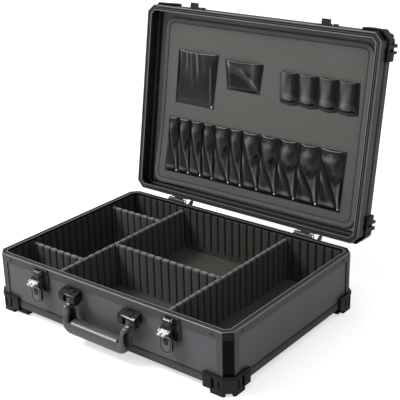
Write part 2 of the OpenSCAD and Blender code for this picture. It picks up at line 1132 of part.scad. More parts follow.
module grip_side() {
  for (s = [-1, 1])
    translate([-hd - grip_mid + s, grip_z - grip_drop])
      circle(grip_r);
  translate([-hd - grip_mid - 1, grip_z - grip_drop - grip_r])
    square([2, 2 * grip_r]);
}

// rounded outline of the handle seen from the front, drawn in x and z
module handle_front() {
  r = 1.8 * grip_r;
  z0 = grip_z - grip_drop - grip_r - 0.05;
  for (s = [-1, 1])
    translate([s * (grip_end - r), z0 + r])
      circle(r);
  translate([r - grip_end, z0])
    square([2 * (grip_end - r), r]);
  translate([-grip_end, z0 + r])
    square([2 * grip_end, grip_drop + grip_r + 20]);
}

// rounded outline of the handle seen from above
module handle_plan() {
  r = 0.6 * grip_r;
  y0 = -hd - grip_mid - grip_r - 1.05;
  y1 = -hd - grip_mid + grip_r + 1.05;
  for (x = [r - grip_end, grip_end - r])
    for (y = [y0 + r, y1 - r])
      translate([x, y])
        circle(r);
  translate([r - grip_end, y0])
    square([2 * (grip_end - r), y1 - y0]);
  translate([-grip_end, y0 + r])
    square([2 * grip_end, y1 - y0 - 2 * r]);
}

module handle() {
  aw = 11.6;
  color(dark)
    difference() {
      union() {
        both_sides()
          translate([handle_x - 1.5, 0, 0])
            bar_x(10.6)
              intersection() {
                union() {
                  arm_side();
                  translate([-hd - grip_out, grip_z])
                    circle(4.2);
                }
                translate([-hd - 30, grip_z - 13.5])
                  square([40, 24]);
              }
        intersection() {
          union() {
            both_sides()
              translate([grip_end - aw / 2, 0, 0])
                bar_x(aw)
                  difference() {
                    arm_side();
                    translate([-hd - 40, grip_z - 11.4])
                      square([60, 30]);
                  }
            bar_x(2 * grip_end)
              grip_side();
          }
          translate([0, 20 - hd, 0])
            rotate([90, 0, 0])
              linear_extrude(80)
                handle_front();
          translate([0, 0, grip_z - grip_drop - 40])
            linear_extrude(120)
              handle_plan();
        }
      }
      both_sides()
        translate([handle_x - 1.5, -hd - grip_out, grip_z])
          rotate([0, 90, 0])
            cylinder(r = pivot_r + run, h = 40, center = true);
      // long hollow in the outer face of each arm
      both_sides()
        translate([grip_end, 0, 0])
          bar_x(8)
            mirror([1, 0])
              translate([hd, grip_z])
                mirror([0, 1])
                  polygon(concat(
                    bend([grip_out + 11.6, 19], [grip_out + 13.2, 24], [grip_out + 13.4, 29]),
                    [[grip_out + 8, 33]],
                    bend([grip_out - 1.5, 30], [grip_out + 0.6, 20], [grip_out + 8.2, 16])
                  ));
    }
}

base_rim();
base_edge();
base_posts();
base_front_panel();
base_back_panel();
base_left_panel();
base_right_panel();
base_floor();
base_guards();
frame_screws();
lining_front();
lining_back();
lining_left();
lining_right();
floor_mat();
hinge_base_leaves();
hinge_pins();
latch_plates();
lever_pins();
handle_brackets();
handle_pins();
lid_rim();
lid_edge();
lid_posts();
lid_front_panel();
lid_back_panel();
lid_left_panel();
lid_right_panel();
lid_top_panel();
lid_guards();
lid_foam();
tool_board();
pocket_large();
pocket_small();
pocket_strip();
pocket_row();
pocket_rivets();
keepers();
hinge_lid_leaves();
handle();
lever_left();
lever_right();
lock_left();
lock_right();
hook_left();
hook_right();
divider_left();
divider_right();
divider_front_left();
divider_back_left();
divider_middle();
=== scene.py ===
import bpy
import bmesh
import json
import math
import numpy as np
from mathutils import Matrix, Vector


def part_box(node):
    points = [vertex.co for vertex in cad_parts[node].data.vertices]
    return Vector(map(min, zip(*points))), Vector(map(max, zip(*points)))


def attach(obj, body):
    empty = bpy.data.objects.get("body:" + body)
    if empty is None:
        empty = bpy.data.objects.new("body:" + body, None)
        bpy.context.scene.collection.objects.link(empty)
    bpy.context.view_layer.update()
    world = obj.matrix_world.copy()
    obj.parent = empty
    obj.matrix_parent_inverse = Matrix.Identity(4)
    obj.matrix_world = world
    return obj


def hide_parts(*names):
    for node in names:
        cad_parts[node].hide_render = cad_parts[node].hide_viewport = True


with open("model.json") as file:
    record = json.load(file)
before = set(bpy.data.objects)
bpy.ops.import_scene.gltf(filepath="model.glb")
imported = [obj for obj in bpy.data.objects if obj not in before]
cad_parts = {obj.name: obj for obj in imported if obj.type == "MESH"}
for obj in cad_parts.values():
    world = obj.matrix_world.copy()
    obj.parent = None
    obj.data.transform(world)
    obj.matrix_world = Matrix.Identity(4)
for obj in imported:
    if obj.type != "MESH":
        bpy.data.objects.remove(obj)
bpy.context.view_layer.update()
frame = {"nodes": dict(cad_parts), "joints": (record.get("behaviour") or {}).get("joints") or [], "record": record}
nodes = frame["nodes"]
joints = {joint["name"]: joint for joint in frame["joints"]}
print("stage: frame loaded")


def boxOf(node):
    # lowest and highest corner of a CAD node, to the nearest 0.05 mm
    return [np.round(np.array(corner) / 0.00005) * 0.00005 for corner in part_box(node)]


# sizes that several pieces share, in metres on the shut case, and the lid's angle at rest, in degrees
case = {
    "halfWidth": boxOf("base_edge")[1][0], "halfDepth": boxOf("base_edge")[1][1], "cornerCut": 0.012,
    "rimHeight": boxOf("base_rim")[1][2], "rimGap": 0.0005, "lidHeight": 0.038, "boardDrop": 0.0107,
    "hingeY": joints["lid_hinge"]["pos_m"][1], "hingeZ": joints["lid_hinge"]["pos_m"][2],
    "lidOpen": -joints["lid_hinge"]["range_deg"][0],
}
case["lidRim"] = case["rimHeight"] + case["rimGap"]
case["topHeight"] = case["lidRim"] + case["lidHeight"]
case["boardFront"] = case["topHeight"] - case["boardDrop"]


def linear(colour):
    # screen colour out of 255 to linear light
    c = np.array(colour) / 255.0
    c = np.where(c <= 0.04045, c / 12.92, ((c + 0.055) / 1.055) ** 2.4)
    return (float(c[0]), float(c[1]), float(c[2]), 1.0)


def onLid(points):
    # turns points of the shut lid about the hinge axis to the open place
    a = math.radians(-case["lidOpen"])
    y = points[..., 1] - case["hingeY"]
    z = points[..., 2] - case["hingeZ"]
    out = points.copy()
    out[..., 1] = case["hingeY"] + math.cos(a) * y - math.sin(a) * z
    out[..., 2] = case["hingeZ"] + math.sin(a) * y + math.cos(a) * z
    return out


def feed(tree, value, socket):
    # an output is linked to the socket, and a plain value is set on it
    if isinstance(value, bpy.types.NodeSocket):
        tree.links.new(value, socket)
    else:
        socket.default_value = value


def feedAll(tree, sockets, values):
    for label, value in values.items():
        feed(tree, value, sockets[label])


def addNode(tree, kind, inputs=(), **settings):
    # a node with its settings made and its inputs fed, by label or number; what comes back is its outputs
    n = tree.nodes.new(kind)
    for key, value in settings.items():
        setattr(n, key, value)
    feedAll(tree, n.inputs, dict(inputs))
    return n.outputs


def mathNode(tree, kind, *values):
    return addNode(tree, "ShaderNodeMath", enumerate(values), operation=kind)[0]


def product(tree, first, *others):
    for other in others:
        first = mathNode(tree, "MULTIPLY", first, other)
    return first


def inverse(tree, mask):
    return mathNode(tree, "SUBTRACT", 1.0, mask)


def within(tree, value, low, high):
    # 1 where value is between low and high, else 0
    above = mathNode(tree, "GREATER_THAN", value, low)
    return product(tree, above, mathNode(tree, "LESS_THAN", value, high))


def axesOf(tree, vector):
    return addNode(tree, "ShaderNodeSeparateXYZ", {0: vector})


def noise(tree, vector, scale, detail):
    return addNode(tree, "ShaderNodeTexNoise", {"Vector": vector, "Scale": scale, "Detail": detail})["Fac"]


def rangeOf(tree, value, low, high, fromLow=0.3, fromHigh=0.7):
    # carries value from fromLow..fromHigh to low..high
    inputs = {"Value": value, "From Min": fromLow, "From Max": fromHigh, "To Min": low, "To Max": high}
    return addNode(tree, "ShaderNodeMapRange", inputs)[0]


def mixColour(tree, factor, a, b):
    return addNode(tree, "ShaderNodeMix", {0: factor, 6: a, 7: b}, data_type="RGBA")[2]


def newGroup(name, inputs, outputs):
    # inputs are a label and a number or a vector each, or None for a vector that is always linked
    group = bpy.data.node_groups.new(name, "ShaderNodeTree")
    for label, value in inputs.items():
        kind = "NodeSocketFloat" if isinstance(value, float) else "NodeSocketVector"
        socket = group.interface.new_socket(name=label, in_out="INPUT", socket_type=kind)
        if value is not None:
            socket.default_value = value
    for label in outputs:
        group.interface.new_socket(name=label, in_out="OUTPUT", socket_type="NodeSocketFloat")
    return group, addNode(group, "NodeGroupInput"), group.nodes.new("NodeGroupOutput").inputs


def useGroup(tree, group, vector, values=()):
    return addNode(tree, "ShaderNodeGroup", {"Vector": vector, **dict(values)}, node_tree=group)


def buildGrain():
    # fine speckle and broad clouds, both from 0 to 1
    inputs = {"Vector": None, "Fine Scale": 900.0, "Broad Scale": 14.0}
    group, start, end = newGroup("surfaceGrain", inputs, ["Fine", "Broad"])
    feed(group, noise(group, start["Vector"], start["Fine Scale"], detail=3.0), end["Fine"])
    feed(group, noise(group, start["Vector"], start["Broad Scale"], detail=4.0), end["Broad"])
    return group


def buildBrush():
    # long thin lines along one axis, as on drawn or brushed metal
    inputs = {"Vector": None, "Stretch": (8.0, 400.0, 400.0), "Scale": 6.0}
    group, start, end = newGroup("brushedLines", inputs, ["Lines"])
    stretched = addNode(group, "ShaderNodeVectorMath", {0: start["Vector"], 1: start["Stretch"]},
                        operation="MULTIPLY")
    feed(group, noise(group, stretched[0], start["Scale"], detail=5.0), end["Lines"])
    return group


def buildWeave():
    # two crossed sets of threads: the product of a sine along each axis, from 0 to 1
    group, start, end = newGroup("clothWeave", {"Vector": None, "Threads": 700.0}, ["Height"])
    axes = axesOf(group, start["Vector"])
    turns = [product(group, axes[axis], start["Threads"], math.tau) for axis in ("X", "Y")]
    crossed = product(group, *(mathNode(group, "SINE", turn) for turn in turns))
    feed(group, mathNode(group, "MULTIPLY_ADD", crossed, 0.5, 0.5), end["Height"])
    return group


# how the painted light on faces that look up falls off and is broken up
topLightFall = {"clouds": 60.0, "detail": 6.0, "steepness": 3.0}


def buildTopLight():
    # painted light on faces that look up: their rise to the power of steepness, broken by clouds
    group, start, end = newGroup("restingDust", {"Vector": None, "Amount": 0.2}, ["Mask"])
    normal = addNode(group, "ShaderNodeNewGeometry")["Normal"]
    up = mathNode(group, "MAXIMUM", axesOf(group, normal)["Z"], 0.0)
    level = mathNode(group, "POWER", up, topLightFall["steepness"])
    clouds = noise(group, start["Vector"], topLightFall["clouds"], topLightFall["detail"])
    feed(group, product(group, level, clouds, start["Amount"]), end["Mask"])
    return group


# a point is on a corner cut where the cut is nearer than the sides by tie and the normal rises less than
# upright, and it looks inwards where the plan products of its place and its normal add up to less than inward
faceLimits = {"tie": 0.0001, "upright": 0.6, "inward": -0.05}


def buildShutPlace():
    # where a point of the frame lies on the shut case: depth in from the outer faces, distance from the rim
    # plane, and masks for the corner cuts and for the faces that look inwards
    group, start, end = newGroup(
        "shutPlace", {"Vector": None, "Normal": None, "Turn": 0.0, "Rim Plane": float(case["rimHeight"])},
        ["Depth", "From Rim", "Corner", "Inward", "Level"])
    shut = {}
    for label, centre in (("Vector", (0.0, case["hingeY"], case["hingeZ"])), ("Normal", (0.0, 0.0, 0.0))):
        inputs = {"Vector": start[label], "Center": centre, "Angle": start["Turn"]}
        turned = addNode(group, "ShaderNodeVectorRotate", inputs, rotation_type="X_AXIS")[0]
        shut[label] = axesOf(group, turned)
    p, n = shut["Vector"], shut["Normal"]
    fromSide = mathNode(group, "SUBTRACT", case["halfWidth"], mathNode(group, "ABSOLUTE", p["X"]))
    fromFront = mathNode(group, "SUBTRACT", case["halfDepth"], mathNode(group, "ABSOLUTE", p["Y"]))
    side = mathNode(group, "MINIMUM", fromSide, fromFront)
    both = mathNode(group, "ADD", fromSide, fromFront)
    slant = math.sqrt(0.5)
    cut = mathNode(group, "MULTIPLY_ADD", both, slant, -slant * case["cornerCut"])
    level = mathNode(group, "ABSOLUTE", n["Z"])
    nearer = mathNode(group, "LESS_THAN", cut, mathNode(group, "SUBTRACT", side, faceLimits["tie"]))
    corner = product(group, nearer, mathNode(group, "LESS_THAN", level, faceLimits["upright"]))
    reach = mathNode(group, "ADD", product(group, p["X"], n["X"]), product(group, p["Y"], n["Y"]))
    inward = mathNode(group, "LESS_THAN", reach, faceLimits["inward"])
    rise = mathNode(group, "ABSOLUTE", mathNode(group, "SUBTRACT", p["Z"], start["Rim Plane"]))
    feedAll(group, end, {"Depth": mathNode(group, "MINIMUM", side, cut), "From Rim": rise, "Corner": corner,
                         "Inward": inward, "Level": level})
    return group


grainGroup = buildGrain()
brushGroup = buildBrush()
weaveGroup = buildWeave()
topLightGroup = buildTopLight()
shutPlaceGroup = buildShutPlace()

# where the painted zones of the frame lie, in metres from the rim plane or in from the outer face
# the grooves and the sunk band get painted shade, and the outer and inner arrises a painted highlight
rimZones = {"grooveRise": (0.0006, 0.0024), "grooveDepth": (0.0022, 0.0078), "outerArris": (-0.001, 0.0010),
            "innerArris": (0.0078, 0.0095), "arrisRise": 0.0012, "arrisLevel": 0.2, "rubbedShare": 0.8,
            "sunkWidth": 0.003}


def scaled(colour, k):
    return (*(min(1.0, channel * k) for channel in colour[:3]), 1.0)


def paintZones(tree, colour, zones, texCoord, onLidNode):
    # recolours the frame by place on the shut case: corner cuts in their dark colour, painted shade on the
    # inward faces, sunk band and rim grooves, a painted highlight on the rim's arrises, and a band of depth
    turned = math.radians(case["lidOpen"]) if onLidNode else 0.0
    rimPlane = case["lidRim"] if onLidNode else case["rimHeight"]
    place = useGroup(tree, shutPlaceGroup, texCoord["Object"],
                     {"Normal": texCoord["Normal"], "Turn": turned, "Rim Plane": rimPlane})
    depth, fromRim, inward = place["Depth"], place["From Rim"], place["Inward"]
    # painted shade on the faces that look inwards, left off the bead band
    if "inward" in zones:
        mask = inward
        if "bead" in zones:
            mask = product(tree, mask, inverse(tree, within(tree, fromRim, *zones["bead"])))
        colour = mixColour(tree, mask, colour, linear(zones["inward"]))
    # painted shade on the sunk band of the faces that look out
    if "sunk" in zones:
        sunkTo = zones["sunkFrom"] + rimZones["sunkWidth"]
        mask = product(tree, inverse(tree, inward), within(tree, depth, zones["sunkFrom"], sunkTo))
        colour = mixColour(tree, mask, colour, linear(zones["sunk"]))
    # painted shade in the grooves of the rim
    if "groove" in zones:
        mask = product(tree, within(tree, fromRim, *rimZones["grooveRise"]),
                       within(tree, depth, *rimZones["grooveDepth"]))
        colour = mixColour(tree, mask, colour, linear(zones["groove"]))
    if "rubbed" in zones:
        # painted highlight on the outer and inner arris of the rim, on faces that look up near the rim plane
        arris = mathNode(tree, "MAXIMUM", within(tree, depth, *rimZones["outerArris"]),
                         within(tree, depth, *rimZones["innerArris"]))
        near = mathNode(tree, "LESS_THAN", fromRim, rimZones["arrisRise"])
        top = mathNode(tree, "GREATER_THAN", place["Level"], rimZones["arrisLevel"])
        mask = product(tree, arris, product(tree, near, top))
        colour = mixColour(tree, product(tree, mask, rimZones["rubbedShare"]), colour, linear(zones["rubbed"]))
    if "corner" in zones:
        colour = mixColour(tree, place["Corner"], colour, linear(zones["corner"]))
    # a band of depth in another colour: painted shade in the recesses of guards and levers, and along a hook's
    # arms
    if "line" in zones:
        low, high, lineColour = zones["line"]
        colour = mixColour(tree, within(tree, depth, low, high), colour, linear(lineColour))
    return colour


# what a look has where it doesn't say otherwise
plainLook = {"fine": 900.0, "broad": 14.0, "vary": 0.12, "speckle": 0.25, "speckTone": 2.2,
             "threadShare": 0.35, "threadTone": 0.7, "lineShare": 0.3, "lineTone": 1.4, "lineHeight": 0.7,
             "dust": 0.0, "dustTone": 0.45, "roughSpan": (0.85, 1.18), "bump": 0.15, "bumpDepth": 0.0003,
             "metal": 0.0, "coat": 0.0, "coatRough": 0.1, "shine": 0.5, "sheen": 0.0, "sheenRough": 0.5}
shaderInputs = {"Metallic": "metal", "Coat Weight": "coat", "Coat Roughness": "coatRough",
                "Specular IOR Level": "shine", "Sheen Weight": "sheen", "Sheen Roughness": "sheenRough"}


def newMaterial(name):
    mat = bpy.data.materials.new(name)
    mat.use_nodes = True
    return mat, mat.node_tree, mat.node_tree.nodes["Principled BSDF"].inputs


def makeFinish(name, ownLook, onLidNode=False):
    # one finish: base colour varied by clouds and fine specks, roughness by clouds, small bumps,
    # with optional weave, brushed lines, painted top light, frame zones and a painted shade and highlight carried
    # by the mesh
    look = {**plainLook, **ownLook}
    mat, tree, shader = newMaterial(name)
    texCoord = addNode(tree, "ShaderNodeTexCoord")
    coords = texCoord["Object"]
    grain = useGroup(tree, grainGroup, coords, {"Fine Scale": look["fine"], "Broad Scale": look["broad"]})
    base = linear(look["colour"])
    clouds = rangeOf(tree, grain["Broad"], 0.0, 1.0)
    colour = mixColour(tree, clouds, scaled(base, 1 - look["vary"]), scaled(base, 1 + look["vary"]))
    speck = rangeOf(tree, grain["Fine"], 0.0, look["speckle"], 0.5, 0.75)
    colour = mixColour(tree, speck, colour, scaled(base, look["speckTone"]))
    height = grain["Fine"]
    if "threads" in look:
        weave = useGroup(tree, weaveGroup, coords, {"Threads": look["threads"]})["Height"]
        threads = rangeOf(tree, weave, 0.0, look["threadShare"], 0.0, 1.0)
        colour = mixColour(tree, threads, colour, scaled(base, look["threadTone"]))
        height = mathNode(tree, "MULTIPLY_ADD", weave, 1.0, height)
    if "brush" in look:
        lines = useGroup(tree, brushGroup, coords, {"Stretch": look["brush"]})["Lines"]
        colour = mixColour(tree, rangeOf(tree, lines, 0.0, look["lineShare"]), colour,
                           scaled(base, look["lineTone"]))
        height = mathNode(tree, "MULTIPLY_ADD", lines, look["lineHeight"], height)
    if "zones" in look:
        colour = paintZones(tree, colour, look["zones"], texCoord, onLidNode)
    if "shade" in look:
        # painted shade and highlight: the mesh carries 0.5 on level cloth, less in folds and more on crests
        carried = addNode(tree, "ShaderNodeAttribute", attribute_name="foldShade")["Fac"]
        fold, crest = look["shade"]
        colour = mixColour(tree, rangeOf(tree, carried, 1.0, 0.0, 0.0, 0.5), colour, linear(fold))
        colour = mixColour(tree, rangeOf(tree, carried, 0.0, 1.0, 0.5, 1.0), colour, linear(crest))
    if look["dust"] > 0:
        dust = useGroup(tree, topLightGroup, coords, {"Amount": look["dust"]})["Mask"]
        colour = mixColour(tree, dust, colour, (look["dustTone"],) * 3 + (1.0,))
    smooth, rough = (min(1.0, look["rough"] * k) for k in look["roughSpan"])
    bump = addNode(tree, "ShaderNodeBump",
                   {"Strength": look["bump"], "Distance": look["bumpDepth"], "Height": height})
    feedAll(tree, shader, {"Base Color": colour, "Normal": bump["Normal"],
                           "Roughness": rangeOf(tree, grain["Broad"], smooth, rough),
                           **{label: look[key] for label, key in shaderInputs.items()}})
    return mat


# colours are red, green and blue out of 255, as on a screen
# a shade pair holds the colours of the painted shade and the painted highlight that the mesh carries
looks = {
    "frame_metal": {"colour": (73, 73, 76), "rough": 0.42, "metal": 0.1, "shine": 0.25, "bump": 0.05,
        "brush": (10.0, 260.0, 260.0), "vary": 0.06, "speckle": 0.1, "zones": {"corner": (17, 18, 19),
        "inward": (24, 24, 26), "bead": (0.0217, 0.0245), "groove": (15, 15, 16), "rubbed": (138, 138, 140)}},
    "corner_posts": {"colour": (86, 86, 89), "rough": 0.45, "shine": 0.08, "bump": 0.05, "speckle": 0.1,
        "zones": {"corner": (8, 8, 9), "inward": (20, 20, 22)}},
    "panel_skin": {"colour": (88, 88, 92), "rough": 0.40, "fine": 700.0, "bump": 0.1, "vary": 0.05,
        "speckle": 0.12, "shine": 0.4, "zones": {"inward": (22, 22, 24), "sunk": (38, 38, 41),
        "sunkFrom": 0.0019}},
    "inner_panels": {"colour": (40, 40, 41), "rough": 0.6, "bump": 0.1},
    "corner_guard": {"colour": (36, 36, 37), "rough": 0.32, "fine": 1200.0, "bump": 0.12, "speckle": 0.2,
        "shine": 0.15, "coat": 0.06, "zones": {"line": (-0.0027, 0.02, (11, 11, 12))}},
    "fasteners": {"colour": (190, 190, 194), "rough": 0.25, "metal": 0.8, "bump": 0.05, "vary": 0.05},
    "hinge_metal": {"colour": (62, 62, 65), "rough": 0.35, "metal": 0.7, "bump": 0.08},
    "lining_foam": {"colour": (56, 56, 52), "rough": 0.85, "fine": 1600.0, "bump": 0.35, "shine": 0.25,
        "sheen": 0.1, "shade": ((4, 4, 4), (74, 74, 72))},
    # the divider pads' tops are painted lighter, as painted light from above
    "divider_pad": {"colour": (66, 65, 62), "rough": 0.8, "fine": 1600.0, "bump": 0.35, "shine": 0.3,
        "sheen": 0.2, "dust": 0.25, "shade": ((7, 7, 7), (116, 116, 113))},
    "latch_plate": {"colour": (70, 70, 73), "rough": 0.28, "metal": 0.8, "bump": 0.05},
    "latch_lever": {"colour": (88, 88, 92), "rough": 0.3, "metal": 0.3, "coat": 0.4, "bump": 0.04,
        "zones": {"line": (-0.0131, -0.0100, (16, 16, 17))}},
    "latch_chrome": {"colour": (225, 225, 230), "rough": 0.14, "metal": 1.0, "bump": 0.03, "vary": 0.03},
    "bracket": {"colour": (8, 8, 9), "rough": 0.2, "shine": 0.1, "coat": 0.5, "coatRough": 0.05,
        "bump": 0.04},
    "handle_grip": {"colour": (72, 72, 75), "rough": 0.28, "fine": 1100.0, "bump": 0.08, "coat": 0.3,
        "coatRough": 0.3, "shade": ((14, 14, 15), (120, 120, 122))},
    "lid_liner": {"colour": (116, 116, 115), "rough": 0.9, "fine": 1400.0, "bump": 0.4, "sheen": 0.1},
    "board_cloth": {"colour": (93, 93, 90), "rough": 0.75, "threads": 620.0, "bump": 0.25, "vary": 0.05,
        "speckle": 0.05, "shade": ((24, 24, 23), (150, 150, 148))},
    "pocket_vinyl": {"colour": (34, 34, 34), "rough": 0.3, "fine": 1300.0, "bump": 0.1, "shine": 0.3,
        "coat": 0.3, "coatRough": 0.12, "shade": ((3, 3, 3), (132, 132, 130))},
}
finishes = {name: makeFinish(name, look) for name, look in looks.items()}
# the painted shade on the lid's inward faces is paler than on the base's
lidFrame = {**looks["frame_metal"], "zones": {**looks["frame_metal"]["zones"], "inward": (46, 46, 47)}}
lidLooks = {**looks, "frame_metal": lidFrame}
lidFinishes = {name: makeFinish(name + "Lid", look, True) for name, look in lidLooks.items()
               if "zones" in look}
# pieces that share a slot with brighter or paler ones; a hook's plate is painted bright as a painted reflection,
# and its arms dark as painted shade
lockLook = {**looks["latch_chrome"], "colour": (58, 58, 61), "rough": 0.3, "metal": 0.6}
hookLook = {**looks["latch_chrome"], "colour": (224, 224, 226), "rough": 0.3, "metal": 0.3,
            "zones": {"line": (-0.0145, 0.02, (40, 40, 42))}}
nodeLooks = {
    "handle_pins": {**looks["fasteners"], "colour": (60, 60, 62), "rough": 0.35, "metal": 0.5},
    "frame_screws": {**looks["fasteners"], "colour": (78, 78, 81), "rough": 0.4, "metal": 0.5},
    "lock_left": lockLook, "lock_right": lockLook, "hook_left": hookLook, "hook_right": hookLook,
}
nodeFinishes = {name: makeFinish(name + "Finish", look) for name, look in nodeLooks.items()}
matFinish = makeFinish("floorMatFinish", {**looks["lining_foam"], "colour": (64, 65, 60)})
print("stage: finishes made")


# in degrees: edges flatter than smoothBelow are shaded smooth, and those steeper than roundAbove are rounded
edgeLook = {"smoothBelow": 20, "roundAbove": 35, "segments": 2, "weld": 0.000002}


def buildSoftEdges():
    # shades the shallow edges of a welded CAD mesh smooth and leaves the steep ones sharp
    group = bpy.data.node_groups.new("softEdges", "GeometryNodeTree")
    for side in ("INPUT", "OUTPUT"):
        group.interface.new_socket(name="Geometry", in_out=side, socket_type="NodeSocketGeometry")
    start = addNode(group, "NodeGroupInput")
    angle = addNode(group, "GeometryNodeInputMeshEdgeAngle")["Unsigned Angle"]
    limit = math.radians(edgeLook["smoothBelow"])
    steep = addNode(group, "FunctionNodeCompare", {"A": angle, "B": limit}, operation="GREATER_THAN")
    faces = addNode(group, "GeometryNodeSetShadeSmooth", {"Geometry": start[0], "Shade Smooth": True},
                    domain="FACE")
    inputs = {"Geometry": faces[0], "Selection": steep["Result"], "Shade Smooth": False}
    edges = addNode(group, "GeometryNodeSetShadeSmooth", inputs, domain="EDGE")
    addNode(group, "NodeGroupOutput", {0: edges[0]})
    return group


softEdges = buildSoftEdges()
# width of the small round on the edges of the metal and plastic pieces, metres
edgeRound = {"corner_guard": 0.0005, "bracket": 0.0009, "handle_grip": 0.0012, "latch_plate": 0.0003,
             "latch_lever": 0.0004, "latch_chrome": 0.00025, "hinge_metal": 0.0004, "fasteners": 0.0}


def softenNode(obj, width):
    # joins the loose triangles, rounds the edges by width and shades them
    weld = obj.modifiers.new("weld", "WELD")
    weld.merge_threshold = edgeLook["weld"]
    if width > 0:
        bevel = obj.modifiers.new("bevel", "BEVEL")
        bevel.width = width
        bevel.segments = edgeLook["segments"]
        bevel.limit_method = "ANGLE"
        bevel.angle_limit = math.radians(edgeLook["roundAbove"])
        bevel.use_clamp_overlap = False
    smooth = obj.modifiers.new("smooth", "NODES")
    smooth.node_group = softEdges


for entry in frame["record"]["subparts"]:
    node, slot = entry["node"], entry["material_slot"]
    chosen = lidFinishes.get(slot, finishes[slot]) if node.startswith("lid_") else finishes[slot]
    materials = nodes[node].data.materials
    materials.clear()
    materials.append(nodeFinishes.get(node, chosen))
    if slot in edgeRound:
        softenNode(nodes[node], edgeRound[slot])
print("stage: CAD pieces finished")


def gridFaces(rows, cols, wrapCols):
    # the four corners of each cell of a grid, as places in its flat list of points
    i = np.arange(rows - 1)[:, None]
    j = np.arange(cols if wrapCols else cols - 1)[None, :]
    j2 = (j + 1) % cols
    quads = np.stack([i * cols + j, i * cols + j2, (i + 1) * cols + j2, (i + 1) * cols + j], axis=-1)
    return quads.reshape(-1, 4)


def addObject(name, data):
    obj = bpy.data.objects.new(name, data)
    bpy.context.scene.collection.objects.link(obj)
    return obj


def addMesh(name, points, quads, slot, body, replaced=(), finish=None, shade=None, merge=0.0):
    # points and quads become one smooth mesh in the slot's finish or one of its own, which stands for the CAD
    # nodes replaced; merge joins points closer than that and turns the faces out
    mesh = bpy.data.meshes.new(name)
    mesh.from_pydata(points.reshape(-1, 3).tolist(), [], quads.tolist())
    if shade is not None:
        layer = mesh.attributes.new("foldShade", "FLOAT", "POINT")
        layer.data.foreach_set("value", np.clip(shade, 0.0, 1.0).ravel().astype(np.float32))
    if merge > 0:
        work = bmesh.new()
        work.from_mesh(mesh)
        bmesh.ops.remove_doubles(work, verts=work.verts, dist=merge)
        bmesh.ops.dissolve_degenerate(work, edges=work.edges, dist=1e-7)
        bmesh.ops.recalc_face_normals(work, faces=work.faces)
        work.to_mesh(mesh)
        work.free()
    mesh.shade_smooth()
    mesh.update()
    obj = addObject(name, mesh)
    mesh.materials.append(finish or finishes[slot])
    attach(obj, body)
    if replaced:
        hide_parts(*replaced)
    return obj


def addSurface(name, points, slot, body, replaced, wrapCols=False, flip=False, **options):
    # a grid of rows x cols points; flip turns the faces round
    quads = gridFaces(points.shape[0], points.shape[1], wrapCols)
    return addMesh(name, points, quads[:, ::-1] if flip else quads, slot, body, replaced, **options)


def repeatedFaces(grids, wrapCols):
    # the cells of several grids whose points stand one grid after another in one list
    count, rows, cols = grids.shape[:3]
    starts = np.arange(count)[:, None, None] * rows * cols
    return (gridFaces(rows, cols, wrapCols) + starts).reshape(-1, 4)


def blurred(values, size):
    # mean of each value's neighbours within size cells along both axes
    wide = np.pad(values, size, mode="edge")
    rows, cols = values.shape
    total = sum(wide[i:i + rows, size:size + cols] for i in range(2 * size + 1)) / (2 * size + 1)
    wide = np.pad(total, ((0, 0), (size, size)), mode="edge")
    return sum(wide[:, j:j + cols] for j in range(2 * size + 1)) / (2 * size + 1)


def smoothStep(x, low, high):
    # 0 below low, 1 above high, and 3 t^2 - 2 t^3 between them
    t = np.clip((x - low) / (high - low), 0.0, 1.0)
    return t * t * (3 - 2 * t)


def fade(x, low, high):
    # 1 below low and 0 above high
    return 1 - smoothStep(x, low, high)


def ridge(x, width):
    # a bell curve, 1 at x = 0
    return np.exp(-(x / width) ** 2)


# what the ribbed linings and dividers share
ribs = {"pitch": 0.0152, "grooveHalf": 0.00155, "grooveShade": 0.42, "topRadius": 0.004, "leastHalf": 0.0004,
        "endRound": 0.0024, "endShrink": 0.25}


def grooveAt(x, shift):
    # 1 in the middle of a groove, 1 / (1 + (distance / grooveHalf)^4) beside it
    pitch = ribs["pitch"]
    d = np.abs((x - shift + pitch / 2) % pitch - pitch / 2)
    return 1.0 / (1.0 + (d / ribs["grooveHalf"]) ** 4)


def ribStations(length, shift):
    # places along a ribbed strip, close together at each groove
    near = np.array([-3.4, -2.6, -2.0, -1.6, -1.2, -0.7, 0.0, 0.7, 1.2, 1.6, 2.0, 2.6, 3.4, 5.0, 6.5]) / 1000
    ends = np.array([0.0, 0.0004, 0.0012, 0.0024])
    count = int(math.ceil(length / ribs["pitch"] / 2)) + 1
    centres = shift + ribs["pitch"] * np.arange(-count, count + 1)
    x = (centres[:, None] + near[None, :]).ravel()
    x = x[np.abs(x) < length / 2 - 0.003]
    x = np.concatenate([x, -length / 2 + ends, length / 2 - ends])
    return np.unique(np.round(x, 6))


# sides are how far the two faces stand from the strip's line and grooves how deep they are in each; a groove
# starts over the heights of ramp above the foot, which is raised by lipStep within lipReach of the ends
# crest is the painted highlight along a strip's top; the grooves get painted shade through grooveShade
dividerPad = {"suffix": "Pad", "slot": "divider_pad", "fill": 0.9, "sides": (0.00375, 0.00375),
              "grooves": (0.0018, 0.0018), "ramp": (0.0, 0.002), "lipStep": 0.0020,
              "lipReach": (0.0100, 0.0112), "topDip": 0.0012, "belly": 0.00025, "crest": 0.35}
wallLining = {"suffix": "Foam", "slot": "lining_foam", "fill": 1.0, "sides": (0.0, 0.003),
              "grooves": (0.0, 0.0021), "ramp": (0.010, 0.014), "lipStep": 0.0, "lipReach": (0.0100, 0.0112),
              "topDip": 0.0, "belly": 0.0, "crest": 0.0}


